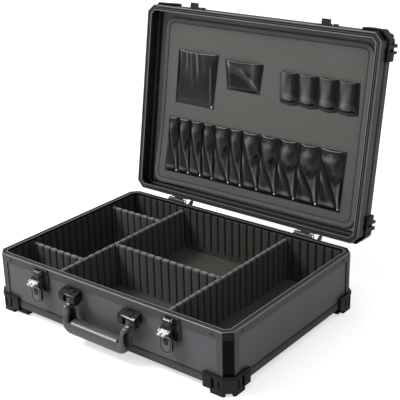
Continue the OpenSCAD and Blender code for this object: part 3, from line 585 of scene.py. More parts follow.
def padSurface(pad, length, shift, foot, top):
    # a strip along x: the section is two straight sides joined by a half circle at the top, each face sinks in
    # at the grooves, and the whole strip bellies to one side by a product of two sines
    x = ribStations(length, shift)
    g = grooveAt(x, shift)[:, None]
    # ends are rounded in by shrinking the section a little
    endGap = (length / 2 - np.abs(x))[:, None]
    shrink = 1.0 - ribs["endShrink"] * (1 - np.clip(endGap / ribs["endRound"], 0, 1)) ** 2
    arc = np.linspace(0, np.pi, 13)
    rise = np.concatenate([[0.0, 0.015, 0.05], np.linspace(0.1, 0.9, 13), [0.96, 1.0]])
    straight = np.zeros(len(rise))
    radius = min(sum(pad["sides"]) / 2, ribs["topRadius"])
    low = foot + pad["lipStep"] * fade(endGap, *pad["lipReach"])
    high = top - radius - pad["topDip"] * g
    share = np.concatenate([rise, np.ones(13), rise[::-1]])
    side = np.concatenate([straight - 1, -np.cos(arc), straight + 1])[None, :]
    lift = np.concatenate([straight, np.sin(arc), straight])[None, :]
    z = low + (high - low) * share[None, :] + radius * lift
    ramp = smoothStep(z, foot + pad["ramp"][0], foot + pad["ramp"][1])
    sink = np.where(side < 0, *pad["grooves"]) * g * ramp
    half = np.where(side < 0, *pad["sides"]) * np.abs(side)
    y = np.sign(side) * np.maximum(half - sink * np.abs(side), ribs["leastHalf"]) * shrink
    y = y + pad["belly"] * np.sin(x * 37.0 + 1.3)[:, None] * np.sin((z - low) * 60.0)
    points = np.stack([np.broadcast_to(x[:, None], z.shape), y, z], axis=-1)
    # painted shade in the grooves and painted highlight along the rounded top
    shade = 0.5 - ribs["grooveShade"] * g * (1 - np.abs(lift)) * ramp
    shade = shade + pad["crest"] * np.sin(lift * np.pi / 2) * (1 - g)
    # close both ends with a flat loop drawn in to the middle
    points, shade = (np.concatenate([a[:1], a, a[-1:]], axis=0) for a in (points, shade))
    for end in (0, -1):
        points[end, :, 1] = points[end, :, 1].mean()
    return points, shade


def addPad(node, pad, shift, degrees, place, body):
    # a ribbed strip as long and high as its CAD node, turned by degrees and set down at place
    low, high = boxOf(node)
    points, shade = padSurface(pad, max(high[:2] - low[:2]), shift, low[2], high[2])
    a = math.radians(degrees)
    turned = points.copy()
    turned[..., 0] = math.cos(a) * points[..., 0] - math.sin(a) * points[..., 1] + place[0]
    turned[..., 1] = math.sin(a) * points[..., 0] + math.cos(a) * points[..., 1] + place[1]
    obj = addSurface(node + pad["suffix"], turned, pad["slot"], body, [node], wrapCols=True, merge=1e-6,
                     shade=shade)


def addDivider(node):
    # the grooves lie at whole pitches from the case's middle line, and half a pitch from it on a divider that
    # is centred on that line itself
    low, high = boxOf(node)
    middle = (low + high) / 2
    runsBack = high[1] - low[1] > high[0] - low[0]
    shift = ribs["pitch"] / 2
    if not runsBack and abs(middle[0]) > 0.001:
        shift = -middle[0] - ribs["pitch"] * round(-middle[0] / ribs["pitch"])
    addPad(node, dividerPad, shift, 90 if runsBack else 0, middle, node)


for name in ("left", "right", "front_left", "back_left", "middle"):
    addDivider("divider_" + name)
print("stage: dividers made")


def addLining(node, degrees):
    # the strip's line is the wall side of the CAD node, and its ribs face the middle of the case
    low, high = boxOf(node)
    outward = np.array([math.sin(math.radians(degrees)), -math.cos(math.radians(degrees))])
    place = np.where(outward > 0.5, high[:2], np.where(outward < -0.5, low[:2], 0.0))
    addPad(node, wallLining, 0.0, degrees, place, "base")


for name, degrees in (("front", 0), ("back", 180), ("right", 90), ("left", -90)):
    addLining("lining_" + name, degrees)
print("stage: linings made")


def planGrid(halfX, halfY, edge, counts):
    # lines over a rectangle, close together along its border, and how far each crossing is from the border
    inset = 0.02
    lines = [np.concatenate([-half + edge, np.linspace(-half + inset, half - inset, count), half - edge[::-1]])
             for half, count in ((halfX, counts[0]), (halfY, counts[1]))]
    gx, gy = np.meshgrid(*lines, indexing="ij")
    return gx, gy, np.minimum(halfX - np.abs(gx), halfY - np.abs(gy))


def addFoamSheet(name, node, slot, body, gx, gy, z, back, finish=None, carried=np.copy):
    # a sheet with the height z over its plan, closed down to the level back by its border and a flat side
    face = np.pad(np.stack([gx, gy, z], axis=-1), ((1, 1), (1, 1), (0, 0)), mode="edge")
    for border in (face[0], face[-1], face[:, 0], face[:, -1]):
        border[:, 2] = back
    under = face[::-1].copy()
    under[..., 2] = back
    rows, cols = face.shape[:2]
    points = carried(np.concatenate([face.reshape(-1, 3), under.reshape(-1, 3)]))
    quads = gridFaces(rows, cols, False)
    obj = addMesh(name, points, np.concatenate([quads, quads + rows * cols]), slot, body, [node], finish,
                  np.full(len(points), 0.5), 1e-7)


floorMat = {"thick": 0.002, "lip": 0.004, "lipSlope": (0.0078, 0.0102), "roll": 0.0012, "rollWidth": 0.0014,
            "wave": 0.00018, "waveFrom": 0.011}


def addFloorMat():
    # a flat floor with a soft raised lip along the walls, rolled down at its border by a parabola
    low, high = boxOf("floor_mat")
    edge = np.array([0.0, 0.0002, 0.0007, 0.0014, 0.003, 0.006, 0.0078, 0.0088, 0.0095, 0.0102, 0.0115])
    gx, gy, d = planGrid(high[0], high[1], edge, (60, 44))
    lift = (floorMat["lip"] - floorMat["thick"]) * fade(d, *floorMat["lipSlope"])
    roll = floorMat["roll"] * (1 - np.clip(d / floorMat["rollWidth"], 0, 1)) ** 2
    wave = floorMat["wave"] * np.sin(gx * 41 + 2) * np.sin(gy * 53 + 1) * (d > floorMat["waveFrom"])
    addFoamSheet("floorMatFoam", "floor_mat", "lining_foam", "base", gx, gy,
                 low[2] + floorMat["thick"] + lift - roll + wave, low[2], matFinish)


addFloorMat()
print("stage: mat made")

# gaps are from the case's front and back; the lower left corner bows off the liner by up to bowHeight
toolBoard = {"halfWidth": boxOf("tool_board")[1][0], "frontGap": 0.020, "backGap": 0.014, "corner": 0.019,
             "bowHeight": 0.009, "bowX": (0.118, 0.215), "bowY": (0.195, 0.330), "ripple": 0.00025}
boardMidY = (toolBoard["frontGap"] - toolBoard["backGap"]) / 2
boardHalfY = case["halfDepth"] - (toolBoard["frontGap"] + toolBoard["backGap"]) / 2


def boardBow(x, y):
    # how far the board stands off the liner: a smooth step to the left times one downwards
    sx = smoothStep(-x, *toolBoard["bowX"])
    sy = smoothStep(y + case["halfDepth"], *toolBoard["bowY"])
    return toolBoard["bowHeight"] * sx * sy


def onBoard(x, y, height):
    # a point of the shut lid at a height in front of the bowed board
    return np.stack([x, y, case["boardFront"] - height - boardBow(x, y)], axis=-1)


def roundedOutline(inset, perLong=44, perShort=32, perCorner=10):
    # points round a rounded rectangle moved in by inset, down to a line in the middle
    r = max(toolBoard["corner"] - inset, 0.0)
    centre = np.array([toolBoard["halfWidth"] - inset - r, max(boardHalfY - inset - r, 0.0)])
    corners = np.array([(1, 1), (-1, 1), (-1, -1), (1, -1)]) * centre
    parts = []
    for k in range(4):
        t = np.linspace(0, np.pi / 2, perCorner) + k * np.pi / 2
        arc = corners[k] + r * np.stack([np.cos(t), np.sin(t)], axis=-1)
        turn = (k + 1) * np.pi / 2
        nextStart = corners[(k + 1) % 4] + r * np.array([np.cos(turn), np.sin(turn)])
        w = np.linspace(0, 1, (perShort if k % 2 else perLong) + 2)[1:-1, None]
        parts += [arc, arc[-1] * (1 - w) + nextStart * w]
    return np.concatenate(parts)


def boardSurface():
    # rings from the middle of the back, round the edge, over a bound border with a sunk seam, to the middle;
    # each has its inset, its depth behind the front and its shade
    # the shades paint the bound edge lighter as a painted highlight and the sunk seam dark as painted shade
    back = [(boardHalfY, 0.003, 0.5), (0.10, 0.003, 0.5), (0.03, 0.003, 0.5), (0.0008, 0.003, 0.5)]
    side = [(0.0, 0.0024, 0.5), (0.0, 0.0006, 0.5), (0.0003, 0.0001, 0.62)]
    binding = [(0.0010, -0.0004, 0.66), (0.0028, -0.0009, 0.58), (0.0050, -0.0009, 0.52),
               (0.0070, -0.0006, 0.40)]
    seam = [(0.0079, -0.0002, 0.16), (0.0084, 0.0005, 0.06), (0.0089, 0.0000, 0.24)]
    front = [(inset, -0.0003, 0.5) for inset in
             (0.0096, 0.011, 0.015, 0.022, 0.032, 0.045, 0.060, 0.077, 0.095, 0.115, 0.135, boardHalfY)]
    stations = back + side + binding + seam + front
    rings = []
    for inset, depth, _ in stations:
        x, y = (roundedOutline(inset) + np.array([0.0, boardMidY])).T
        onCloth = (inset > 0.012) * (depth < 0)
        ripple = toolBoard["ripple"] * np.sin(x * 31 + 0.6) * np.sin(y * 27 + 1.1) * onCloth
        rings.append(onBoard(x, y, ripple - depth))
    shades = np.array([shade for _, _, shade in stations])
    return np.array(rings), np.broadcast_to(shades[:, None], (len(rings), len(rings[0])))


boardRings, boardShade = boardSurface()
addSurface("toolBoardCloth", onLid(boardRings), "board_cloth", "lid", ["tool_board"], wrapCols=True,
           merge=2e-6, shade=boardShade)
print("stage: board made")

# a section's share is how much of the pocket's depth the cloth stands out, and its paint, painted highlight
# and painted shade, is added to the shade
anyPhase = 6.28  # a wave starts anywhere in its turn
foldedCloth = {"lineFrom": 0.03, "lineTo": 0.95, "tubePower": 0.75, "narrowing": 0.40, "kinkDepth": 0.42,
               "pillow": 0.46, "crest": 0.22, "pleat": 0.05}


def foldedSection(ss, bb, local):
    # right of a fold line stands a tube, a half sine to the power tubePower, that narrows towards the lower
    # right rivet; a soft kink crosses it near mid height, and left of the line the cloth is a low half sine
    turnAt = local.uniform(0.10, 0.26)
    line = foldedCloth["lineFrom"] + 0.13 * bb + 0.79 * smoothStep(bb, turnAt, 1.06)
    line = np.minimum(line + 0.02 * np.sin(9 * bb + local.uniform(0, anyPhase)), foldedCloth["lineTo"])
    kinkAt = local.uniform(0.34, 0.50)
    u = np.clip((ss - line) / (1 - line), 0.0, 1.0)
    w = np.clip(ss / line, 0.0, 1.0)
    low = smoothStep(bb, 0.15, 0.45)
    kink = ridge(bb - kinkAt - 0.45 * (0.85 - ss), local.uniform(0.07, 0.10)) * smoothStep(u, 0.30, 0.85)
    tube = np.sin(np.pi * u) ** foldedCloth["tubePower"] * (1 - line) ** foldedCloth["narrowing"]
    tube = tube * (1 - foldedCloth["kinkDepth"] * kink) * (0.60 + 0.40 * smoothStep(bb, 0.0, 0.18))
    pillow = foldedCloth["pillow"] * np.sin(np.pi * w) ** 0.8 * smoothStep(bb, 0.20, 0.55)
    wave = 1.7 * ss - local.uniform(0.8, 1.5) * bb
    pleat = foldedCloth["pleat"] * np.cos(2 * np.pi * wave + local.uniform(0, anyPhase))
    crest = foldedCloth["crest"] * ridge(ss - line, 0.026) * low
    edge = smoothStep(ss, 0.0, 0.08) * fade(ss, 0.95, 1.0)
    end = fade(bb, 0.90, 1.0)
    # painted highlight along the fold line and on the upper tube; painted shade left of the line, in the kink,
    # at the right end of the mouth and down the right of the upper part; the whole section a little darker
    paint = 0.34 * ridge(ss - line, 0.015) * smoothStep(bb, 0.30, 0.55) * end
    paint = paint - 0.32 * ridge(ss - line + 0.06, 0.045) * smoothStep(bb, 0.2, 0.5) * end - 0.30 * kink
    paint = paint - 0.90 * ridge(ss - 0.97, 0.09) * ridge(bb, 0.12) + 0.12 * ridge(u - 0.38, 0.14) * (1 - low)
    paint = paint - 0.34 * smoothStep(ss, 0.66, 0.98) * fade(bb, 0.35, 0.60) - 0.12
    return (tube + pillow + crest + pleat) * edge, paint


# each rib has its place across, its width, its height, its lean and where it ends
flatCloth = {"pillow": 0.62, "seamAt": 0.82, "seam": 0.13, "sweep": 0.08,
             "ribs": ((0.27, 0.030, 0.13, 0.05, 0.55), (0.38, 0.045, 0.09, 0.09, 0.72),
                      (0.52, 0.035, 0.14, 0.12, 0.62), (0.68, 0.060, 0.07, 0.10, 0.50))}


def flatSection(ss, bb, local):
    # a broad low pillow, a half sine to the power 0.5, with soft ribs from the mouth to mid height and a
    # raised line down the right edge
    pillow = flatCloth["pillow"] * np.sin(np.pi * ss) ** 0.5 * (1 - 0.75 * bb)
    raised = sum(height * ridge(ss - across - lean * bb, width) * fade(bb, end - 0.35, end)
                 for across, width, height, lean, end in flatCloth["ribs"])
    seam = ridge(ss - flatCloth["seamAt"] - 0.13 * bb, 0.022) * smoothStep(bb, 0.05, 0.30)
    sweep = flatCloth["sweep"] * np.sin(3.0 * ss + 5.0 * bb + local.uniform(0, 1)) * (1 - bb)
    edge = smoothStep(ss, 0.0, 0.08) * fade(ss, 0.95, 1.0)
    # painted highlight on the ribs and the raised line, painted shade along the foot, and the whole section
    # darker, more so towards the foot
    paint = 0.08 * seam + 1.3 * raised - 0.25 * ridge(bb - 0.93, 0.05) - 0.22 - 0.14 * smoothStep(bb, 0.3, 0.8)
    return (pillow + raised + flatCloth["seam"] * seam + sweep) * edge, paint


sackCloth = {"lineFrom": 0.22, "lineFall": 0.74, "full": 0.95, "slack": 0.62, "crest": 0.07, "dent": 0.22}


def sackSection(ss, bb, local):
    # the cloth stands full above a slanting line and falls away below it, with a crest along the line
    line = sackCloth["lineFrom"] + sackCloth["lineFall"] * np.clip((ss - 0.26) / 0.74, 0.0, 1.0) ** 1.55
    below = bb - line
    full = sackCloth["full"] - sackCloth["slack"] * smoothStep(below, -0.10, 0.22)
    crest = ridge(below, 0.05) * smoothStep(ss, 0.38, 0.60)
    dent = sackCloth["dent"] * ridge(ss - 0.68, 0.10) * ridge(bb - 0.30 - local.uniform(0.0, 0.05), 0.16)
    edge = smoothStep(ss, 0.0, 0.16) * fade(ss, 0.76, 1.0)
    # painted highlight along the crest and high in the middle, painted shade below the line and in the dent, and
    # the whole section a little darker
    paint = 0.09 * ridge(below + 0.01, 0.040) * smoothStep(ss, 0.45, 0.80)
    paint = paint - 0.34 * smoothStep(below, 0.03, 0.30)
    paint = paint + 0.10 * ridge(ss - 0.50, 0.07) * ridge(bb - 0.18, 0.20) - 0.5 * dent - 0.10
    return (full + sackCloth["crest"] * crest - dent) * edge * (1 - 0.35 * bb), paint


tubeCloth = {"width": 0.93, "footFrom": 0.66, "footLength": 0.24, "power": 0.85, "lean": 0.16, "wave": 0.05}


def tubeSection(ss, bb, local):
    # a round tube, a half sine over all but the right edge, rounded off at the foot by a quarter circle
    t = np.clip(ss / tubeCloth["width"], 0.0, 1.0)
    foot = np.sqrt(1 - np.clip((bb - tubeCloth["footFrom"]) / tubeCloth["footLength"], 0.0, 0.999) ** 2)
    turns = 1.4 * ss + local.uniform(0.5, 1.0) * bb
    wave = tubeCloth["wave"] * np.sin(2 * np.pi * turns + local.uniform(0, anyPhase))
    share = (np.sin(np.pi * t) ** tubeCloth["power"] * (1 + wave) - tubeCloth["lean"] * bb * t) * foot
    # painted highlight left of the middle, painted shade at both edges and towards the foot, and the wave adds to
    # it
    paint = 0.10 * ridge(t - 0.40, 0.16) - 0.55 * smoothStep(ss, 0.62, 0.92) - 0.22 * fade(ss, 0.0, 0.16)
    return share, paint - 0.08 * smoothStep(bb, 0.70, 0.92) + wave + 0.04


# in metres, with shadeGain in shade per metre of relief
pocketLook = {"wall": 0.0008, "lift": 0.0012, "hem": 0.0008, "shadeGain": 400.0, "mouthSag": 0.0012,
              "backLift": 0.0007, "backInset": (0.0006, 0.0010)}
# in millimetres: top and foot are the places across of a pocket's sewn lines, reach is how far its mouth and
# foot are from the case's front, and depths are how far its sections stand out
pockets = {
    "rowPocket": {"node": "pocket_row", "section": foldedSection, "seed": 3, "reach": (194.5, 294.5),
                  "footSag": 0, "top": (-186, -163, -135.5, -109, -82.5, -49.5, -23.7, 14.5, 52, 91, 131, 180),
                  "foot": (-184, -156, -131, -104, -77, -42, -16, 18, 55, 93, 136, 178),
                  "depths": (8, 9, 9, 9, 9, 9, 10, 10, 10, 10, 10)},
    "largePocket": {"node": "pocket_large", "section": flatSection, "seed": 5, "reach": (73.7, 167.5),
                    "footSag": 0, "top": (-174.5, -86.5), "foot": (-174.5, -90.5), "depths": (9.5,)},
    "smallPocket": {"node": "pocket_small", "section": sackSection, "seed": 9, "reach": (78, 128.7),
                    "footSag": 0, "top": (-72.5, 6.5), "foot": (-63.5, 3.5), "depths": (8.5,)},
    "stripPocket": {"node": "pocket_strip", "section": tubeSection, "seed": 12, "reach": (82.5, 133.5),
                    "footSag": 3.5, "top": np.linspace(40, 189, 5), "foot": np.linspace(45, 192, 5),
                    "depths": (8, 8, 8, 8)},
}


def metres(pocket, key):
    return np.array(pocket[key]) / 1000


def pocketSheet(pocket):
    # a sheet sewn to the board at each division and at the foot, which stands out between them by its
    # section's share of the depth
    local = np.random.default_rng(pocket["seed"])
    topX, footX, depths, reach = (metres(pocket, key) for key in ("top", "foot", "depths", "reach"))
    footSag = float(metres(pocket, "footSag"))
    s = np.concatenate([[0.0, 0.015, 0.04, 0.07], np.linspace(0.10, 0.90, 42), [0.93, 0.96, 0.985]])
    mouth = [0.0, 0.004, 0.010, 0.017, 0.024, 0.032]
    b = np.concatenate([mouth, np.linspace(0.05, 0.95, 42), [0.97, 0.985, 1.0]])
    ss, bb = np.meshgrid(s, b, indexing="ij")
    lines = topX[:, None] * (1 - b) + footX[:, None] * b
    down = reach[0] + (reach[1] - reach[0]) * bb - case["halfDepth"]
    spots, shades = [], []
    for k, fullDepth in enumerate(depths):
        share, paint = pocket["section"](ss, bb, local)
        share = share * fade(bb, 0.90, 1.0)
        depth = fullDepth * np.clip(share, 0.0, 1.2)
        # painted highlight where the cloth stands out from its surroundings and at the hem, painted shade where it
        # lies low
        shade = 0.5 + (depth - blurred(depth, 4)) * pocketLook["shadeGain"] + paint
        shade = shade - 0.42 * fade(share, 0.04, 0.42) * fade(bb, 0.45, 0.8) + 0.7 * fade(bb, 0.010, 0.020)
        depth = depth + pocketLook["hem"] * smoothStep(share, 0.0, 0.3) * fade(bb, 0.020, 0.030)
        x = lines[k] + (lines[k + 1] - lines[k]) * ss
        y = down + np.sin(np.pi * ss) * (pocketLook["mouthSag"] * (1 - bb) ** 3 + footSag * bb ** 3)
        spots.append(onBoard(x, y, pocketLook["lift"] + depth))
        shades.append(shade)
    # the last sewn line closes the sheet, a little darker as painted shade
    spots.append(onBoard(lines[-1:], down[:1], pocketLook["lift"]))
    shades.append(np.full((1, len(b)), 0.4))
    return np.concatenate(spots, axis=0), np.concatenate(shades, axis=0)


def addPocket(name, pocket):
    points, shade = pocketSheet(pocket)
    obj = addSurface(name, onLid(points), "pocket_vinyl", "lid", [pocket["node"]], flip=True, shade=shade)
    wall = obj.modifiers.new("wall", "SOLIDIFY")
    wall.thickness = pocketLook["wall"]
    wall.offset = 1.0


def addPocketShadowSheets():
    # painted shadow inside each pocket's mouth: a flat four-sided sheet on the board that follows its bow, painted
    # darkest
    across, down = np.meshgrid(np.linspace(0, 1, 40), np.linspace(0, 1, 10), indexing="ij")
    insetX, insetY = pocketLook["backInset"]
    sheets = []
    for pocket in pockets.values():
        topX, footX, reach = (metres(pocket, key) for key in ("top", "foot", "reach"))
        left = topX[0] * (1 - down) + footX[0] * down + insetX
        right = topX[-1] * (1 - down) + footX[-1] * down - insetX
        y = reach[0] + insetY + (reach[1] - reach[0] - 2 * insetY) * down - case["halfDepth"]
        sheets.append(onBoard(left + (right - left) * across, y, pocketLook["backLift"]))
    sheets = np.array(sheets)
    quads = repeatedFaces(sheets, False)[:, ::-1]
    addMesh("pocketBacks", onLid(sheets), quads, "pocket_vinyl", "lid",
            [pocket["node"] for pocket in pockets.values()], shade=np.zeros(sheets.shape[:3]))


for name, pocket in pockets.items():
    addPocket(name, pocket)
addPocketShadowSheets()

# row caps stand beside the foot of each sewn line, and one more holds the large pocket's corner
rivet = {"radius": 0.0021, "crown": 0.45, "skirt": 0.0012, "stand": 0.0016, "beside": 0.0025, "rowY": 0.2905,
         "single": (-0.0925, 0.1655)}


def addRivets():
    # domed caps: radius times the sine and crown times the radius times the cosine of the angle from the top
    r = rivet["radius"]
    rise = np.concatenate([np.linspace(0.0, np.pi / 2, 6), [np.pi / 2]])[:, None]
    around = np.linspace(0, 2 * np.pi, 14, endpoint=False)[None, :]
    skirt = np.array([0, 0, 0, 0, 0, 0, rivet["skirt"]])[:, None]
    height = skirt - rivet["crown"] * r * np.cos(rise) + 0 * around
    cap = np.stack([r * np.sin(rise) * np.cos(around), r * np.sin(rise) * np.sin(around), height], axis=-1)
    row = metres(pockets["rowPocket"], "foot")[1:] - rivet["beside"]
    x = np.append(row, rivet["single"][0])
    y = np.append(np.full(len(row), rivet["rowY"]), rivet["single"][1]) - case["halfDepth"]
    caps = cap + onBoard(x, y, pocketLook["lift"] + rivet["stand"])[:, None, None]
    addMesh("pocketRivetCaps", onLid(caps), repeatedFaces(caps, True), "fasteners", "lid", ["pocket_rivets"],
            merge=1e-7)


addRivets()
print("stage: pockets made")

# the grip: a bent bar carried from one pivot down, round a corner, along and up to the other, in metres; neck,
# widening and shoulder each reach from one distance below the pin to another
grip = {"armX": 0.0562, "pivotX": 0.0595, "pivotY": joints["handle_swing"]["pos_m"][1],
        "pivotZ": joints["handle_swing"]["pos_m"][2], "barZ": 0.0301, "barHalf": 0.0122, "armHalf": 0.0058,
        "eyeHalf": 0.0051, "eyeRadius": 0.0042, "cornerRadius": 0.0085,
        "neck": (0.0100, 0.0180), "widening": (0.0105, 0.0135), "shoulder": (0.0080, 0.0098),
        "shoulderReach": 0.0086, "frontFrom": 0.017, "frontReach": 0.0054, "backFrom": 0.016,
        "backReach": 0.0020, "hollow": 0.0034, "hollowPlace": (0.0470, -0.0018),
        "hollowHalf": (0.0130, 0.0074), "squareness": 3.4, "barSquareness": 2.2}


def gripSurface():
    # stations down one arm, a quarter turn and half the bar, then mirrored; each section is a rounded box,
    # |u|^e + |v|^e = 1, as wide as the station's two half sizes
    rc, eye = grip["cornerRadius"], grip["eyeRadius"]
    armLow = grip["barZ"] + rc
    over = np.radians([86, 66, 42, 18])
    fall = np.concatenate([-eye * np.sin(over), np.linspace(0.0, grip["pivotZ"] - armLow, 34)])
    turn = np.linspace(0, np.pi / 2, 12)[1:]
    bar = np.linspace(grip["armX"] - rc, 0.0, 18)[1:]
    armX = grip["pivotX"] + (grip["armX"] - grip["pivotX"]) * smoothStep(fall, *grip["neck"])
    x = np.concatenate([armX, grip["armX"] - rc + rc * np.cos(turn), bar])
    z = np.concatenate([grip["pivotZ"] - fall, armLow - rc * np.sin(turn), np.full(len(bar), grip["barZ"])])
    # how far the arm reaches before and behind its pin, by the distance below the pin
    down = np.concatenate([fall, np.full(len(turn) + len(bar), fall[-1])])
    front = eye + grip["shoulderReach"] * smoothStep(down, *grip["shoulder"])
    front = front + grip["frontReach"] * smoothStep(down, grip["frontFrom"], fall[-1])
    back = eye + grip["backReach"] * smoothStep(down, grip["backFrom"], fall[-1])
    y = grip["pivotY"] - (front - back) / 2
    angle = np.concatenate([np.zeros(len(fall)), turn, np.full(len(bar), np.pi / 2)])
    bend = np.sin(angle)
    arm = grip["eyeHalf"] + (grip["armHalf"] - grip["eyeHalf"]) * smoothStep(down, *grip["widening"])
    halfIn = arm * (1 - bend ** 1.5) + grip["barHalf"] * bend ** 1.5
    halfDeep = (front + back) / 2
    halfDeep[:4] = eye * np.cos(over)
    halfIn[:2] *= np.array([0.86, 0.96])
    squareness = grip["squareness"] + (grip["barSquareness"] - grip["squareness"]) * bend
    power = 2 / squareness[:, None]
    a = np.linspace(0, 2 * np.pi, 40, endpoint=False)[None, :]
    u = np.sign(np.cos(a)) * np.abs(np.cos(a)) ** power * halfIn[:, None]
    v = np.sign(np.sin(a)) * np.abs(np.sin(a)) ** power * halfDeep[:, None]
    # a long hollow in the outer face of the arm: the root of 1 less the squares of the distances from its
    # middle, each as a share of its half size
    placeZ, placeV = grip["hollowPlace"]
    halfZ, halfV = grip["hollowHalf"]
    lens = np.clip(1 - ((z[:, None] - placeZ) / halfZ) ** 2 - ((v - placeV) / halfV) ** 2, 0.0, 1.0) ** 0.5
    u = u - grip["hollow"] * lens * (u > 0) * (bend[:, None] < 0.8)
    px = x[:, None] + u * np.cos(angle)[:, None]
    pz = z[:, None] - u * np.sin(angle)[:, None]
    right = np.stack([px, y[:, None] + v, pz], axis=-1)
    tip = np.broadcast_to(right[0].mean(axis=0), right[:1].shape)
    mirror = np.array([-1, 1, 1])
    points = np.concatenate([tip, right, right[-2::-1] * mirror, tip * mirror], axis=0)
    # the hollow is painted darker, as painted shade
    shade = 0.5 - 0.5 * smoothStep(lens, 0.10, 0.45)
    plain = np.full_like(shade[:1], 0.5)
    return points, np.concatenate([plain, shade, shade[-2::-1], plain], axis=0)


gripPoints, gripShade = gripSurface()
addSurface("handleGrip", gripPoints, "handle_grip", "handle", ["handle"], wrapCols=True, merge=1e-6,
           shade=gripShade)

# the plate that closes the top of a bracket's slot, in metres, with its side profile in millimetres from the
# case's front and the rim
slotCover = {"halfWidth": 0.00585, "crown": 0.0003, "round": 0.0003,
             "profile": [(-2, -15.1), (-4, -15.2), (-9.5, -16.8), (-14.9, -18.4), (-14.9, -20.4),
                         (-9.5, -18.9), (-4, -17.4), (-2, -17.2)]}


def addSlotCovers():
    # the profile swept across the slot, its upper side raised by crown times 1 - t^2, and closed to a point at
    # each end
    profile = np.array(slotCover["profile"]) / 1000
    t = np.array([-1, -1, -0.6, -0.2, 0.2, 0.6, 1, 1])[:, None]
    upper = np.array([0, 0.6, 1, 0.6, 0, 0, 0, 0])[None, :]
    y = profile[None, :, 0] - case["halfDepth"] + 0 * t
    z = profile[None, :, 1] + case["rimHeight"] + slotCover["crown"] * upper * (1 - t ** 2)
    covers = []
    for side in (-1, 1):
        cover = np.stack([side * grip["pivotX"] + slotCover["halfWidth"] * t + 0 * upper, y, z], axis=-1)
        cover[[0, -1]] = cover[[0, -1]].mean(axis=1, keepdims=True)
        covers.append(cover)
    covers = np.array(covers)
    obj = addMesh("bracketSlotCovers", covers, repeatedFaces(covers, True), "bracket", "base", merge=1e-7)
    softenNode(obj, slotCover["round"])


addSlotCovers()
print("stage: handle made")

lidLiner = {"gap": 0.0016, "depth": 0.0060, "thick": 0.0029, "roll": 0.0008, "rollWidth": 0.002,
            "wave": 0.00015, "mostProud": 0.0001}


def addLiner():
    # a soft flat sheet inside the lid edge, its face a little uneven: a product of two sines
    mat = boxOf("floor_mat")[1]  # the liner covers the same plan as the mat
    edge = np.array([0.0, 0.0003, 0.0009, 0.002, 0.004, 0.007, 0.010, 0.014])
    gx, gy, d = planGrid(mat[0], mat[1], edge, (70, 50))
    front = case["topHeight"] - lidLiner["gap"] - lidLiner["depth"]
    roll = lidLiner["roll"] * (1 - np.clip(d / lidLiner["rollWidth"], 0, 1)) ** 2
    z = front + roll + lidLiner["wave"] * np.sin(gx * 60) * np.sin(gy * 70)
    z = np.maximum(z, front - lidLiner["mostProud"])
    addFoamSheet("lidLinerFoam", "lid_foam", "lid_liner", "lid", gx, gy, z, front + lidLiner["thick"],
                 carried=onLid)


addLiner()
print("stage: liner made")

# lamps are places and sizes in metres and powers in watts; the sky's numbers are its strength at the horizon,
# overhead and to the right
stage = {"floorSize": 30.0, "floorTone": 0.8, "floorLift": 0.60, "skyLow": 0.10, "skyHigh": 1.0,
         "skyLeft": 1.1, "skyRight": 0.6, "skyPower": 0.7,
         "lamps": {"keyLamp": {"place": (-1.35, -1.35, 1.95), "target": (0, 0.1, 0.1), "size": (0.9, 0.7),
                               "power": 46.0},
                   "sideLamp": {"place": (2.3, -0.7, 0.55), "target": (0, 0, 0.12), "size": (1.0, 1.0),
                                "power": 1.5}}}


def addFloor():
    half = stage["floorSize"] / 2
    corners = [(-half, -half, 0), (half, -half, 0), (half, half, 0), (-half, half, 0)]
    mesh = bpy.data.meshes.new("floor")
    mesh.from_pydata(corners, [], [(0, 1, 2, 3)])
    addObject("floor", mesh)
    mat, tree, shader = newMaterial("paleFloor")
    # seen directly, the floor is lifted to white while its shadow stays
    seen = addNode(tree, "ShaderNodeLightPath")["Is Camera Ray"]
    feedAll(tree, shader, {"Base Color": (stage["floorTone"],) * 3 + (1.0,), "Roughness": 0.9,
                           "Specular IOR Level": 0.1, "Emission Color": (1.0, 1.0, 1.0, 1.0),
                           "Emission Strength": product(tree, seen, stage["floorLift"])})
    mesh.materials.append(mat)


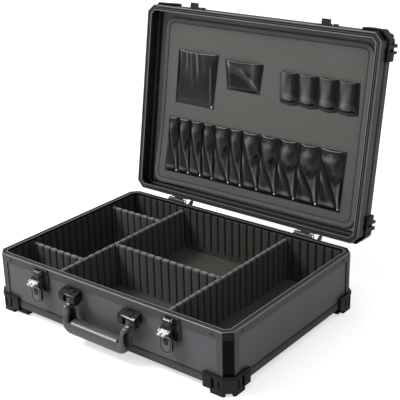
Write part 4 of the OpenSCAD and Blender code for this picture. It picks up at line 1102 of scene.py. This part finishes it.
def addSky():
    # the sky is dim at the horizon and to the right, bright overhead, and white where it is seen directly
    world = bpy.data.worlds.new("studio")
    bpy.context.scene.world = world
    world.use_nodes = True
    tree = world.node_tree
    axes = axesOf(tree, addNode(tree, "ShaderNodeTexCoord")["Generated"])
    rise = mathNode(tree, "POWER", mathNode(tree, "MAXIMUM", axes["Z"], 0.0), stage["skyPower"])
    sky = rangeOf(tree, rise, stage["skyLow"], stage["skyHigh"], 0.0, 1.0)
    sky = product(tree, sky, rangeOf(tree, axes["X"], stage["skyLeft"], stage["skyRight"], -1.0, 1.0))
    path = addNode(tree, "ShaderNodeLightPath")
    shown = mathNode(tree, "MAXIMUM", path["Is Camera Ray"], path["Is Transmission Ray"])
    feedAll(tree, tree.nodes["Background"].inputs,
            {"Color": (1, 1, 1, 1), "Strength": mathNode(tree, "MAXIMUM", sky, shown)})


def addLamp(name, look):
    data = bpy.data.lights.new(name, "AREA")
    data.shape = "RECTANGLE"
    data.size, data.size_y = look["size"]
    data.energy = look["power"]
    lamp = addObject(name, data)
    lamp.location = look["place"]
    lamp.rotation_euler = (Vector(look["target"]) - lamp.location).to_track_quat("-Z", "Y").to_euler()


# place in metres, angles in degrees, lens and sensor width in millimetres
view = {"place": (0.8993, -1.0657, 0.7413), "azimuth": 38.4, "elevation": 21.8, "roll": -1.35, "lens": 87.09,
        "sensor": 36.0}


def addCamera():
    az, el, roll = (math.radians(view[k]) for k in ("azimuth", "elevation", "roll"))
    back = Vector((math.sin(az) * math.cos(el), -math.cos(az) * math.cos(el), math.sin(el)))
    level = Vector((0, 0, 1)).cross(back).normalized()
    upright = back.cross(level)
    side = math.cos(roll) * level + math.sin(roll) * upright
    up = -math.sin(roll) * level + math.cos(roll) * upright
    data = bpy.data.cameras.new("camera")
    data.lens = view["lens"]
    data.sensor_width = view["sensor"]
    camera = addObject("camera", data)
    turn = Matrix((side, up, back)).transposed().to_4x4()
    camera.matrix_world = Matrix.Translation(view["place"]) @ turn
    bpy.context.scene.camera = camera


addFloor()
addSky()
for name, look in stage["lamps"].items():
    addLamp(name, look)
addCamera()
bpy.context.scene.view_settings.view_transform = "Standard"

print("stage: scene done")
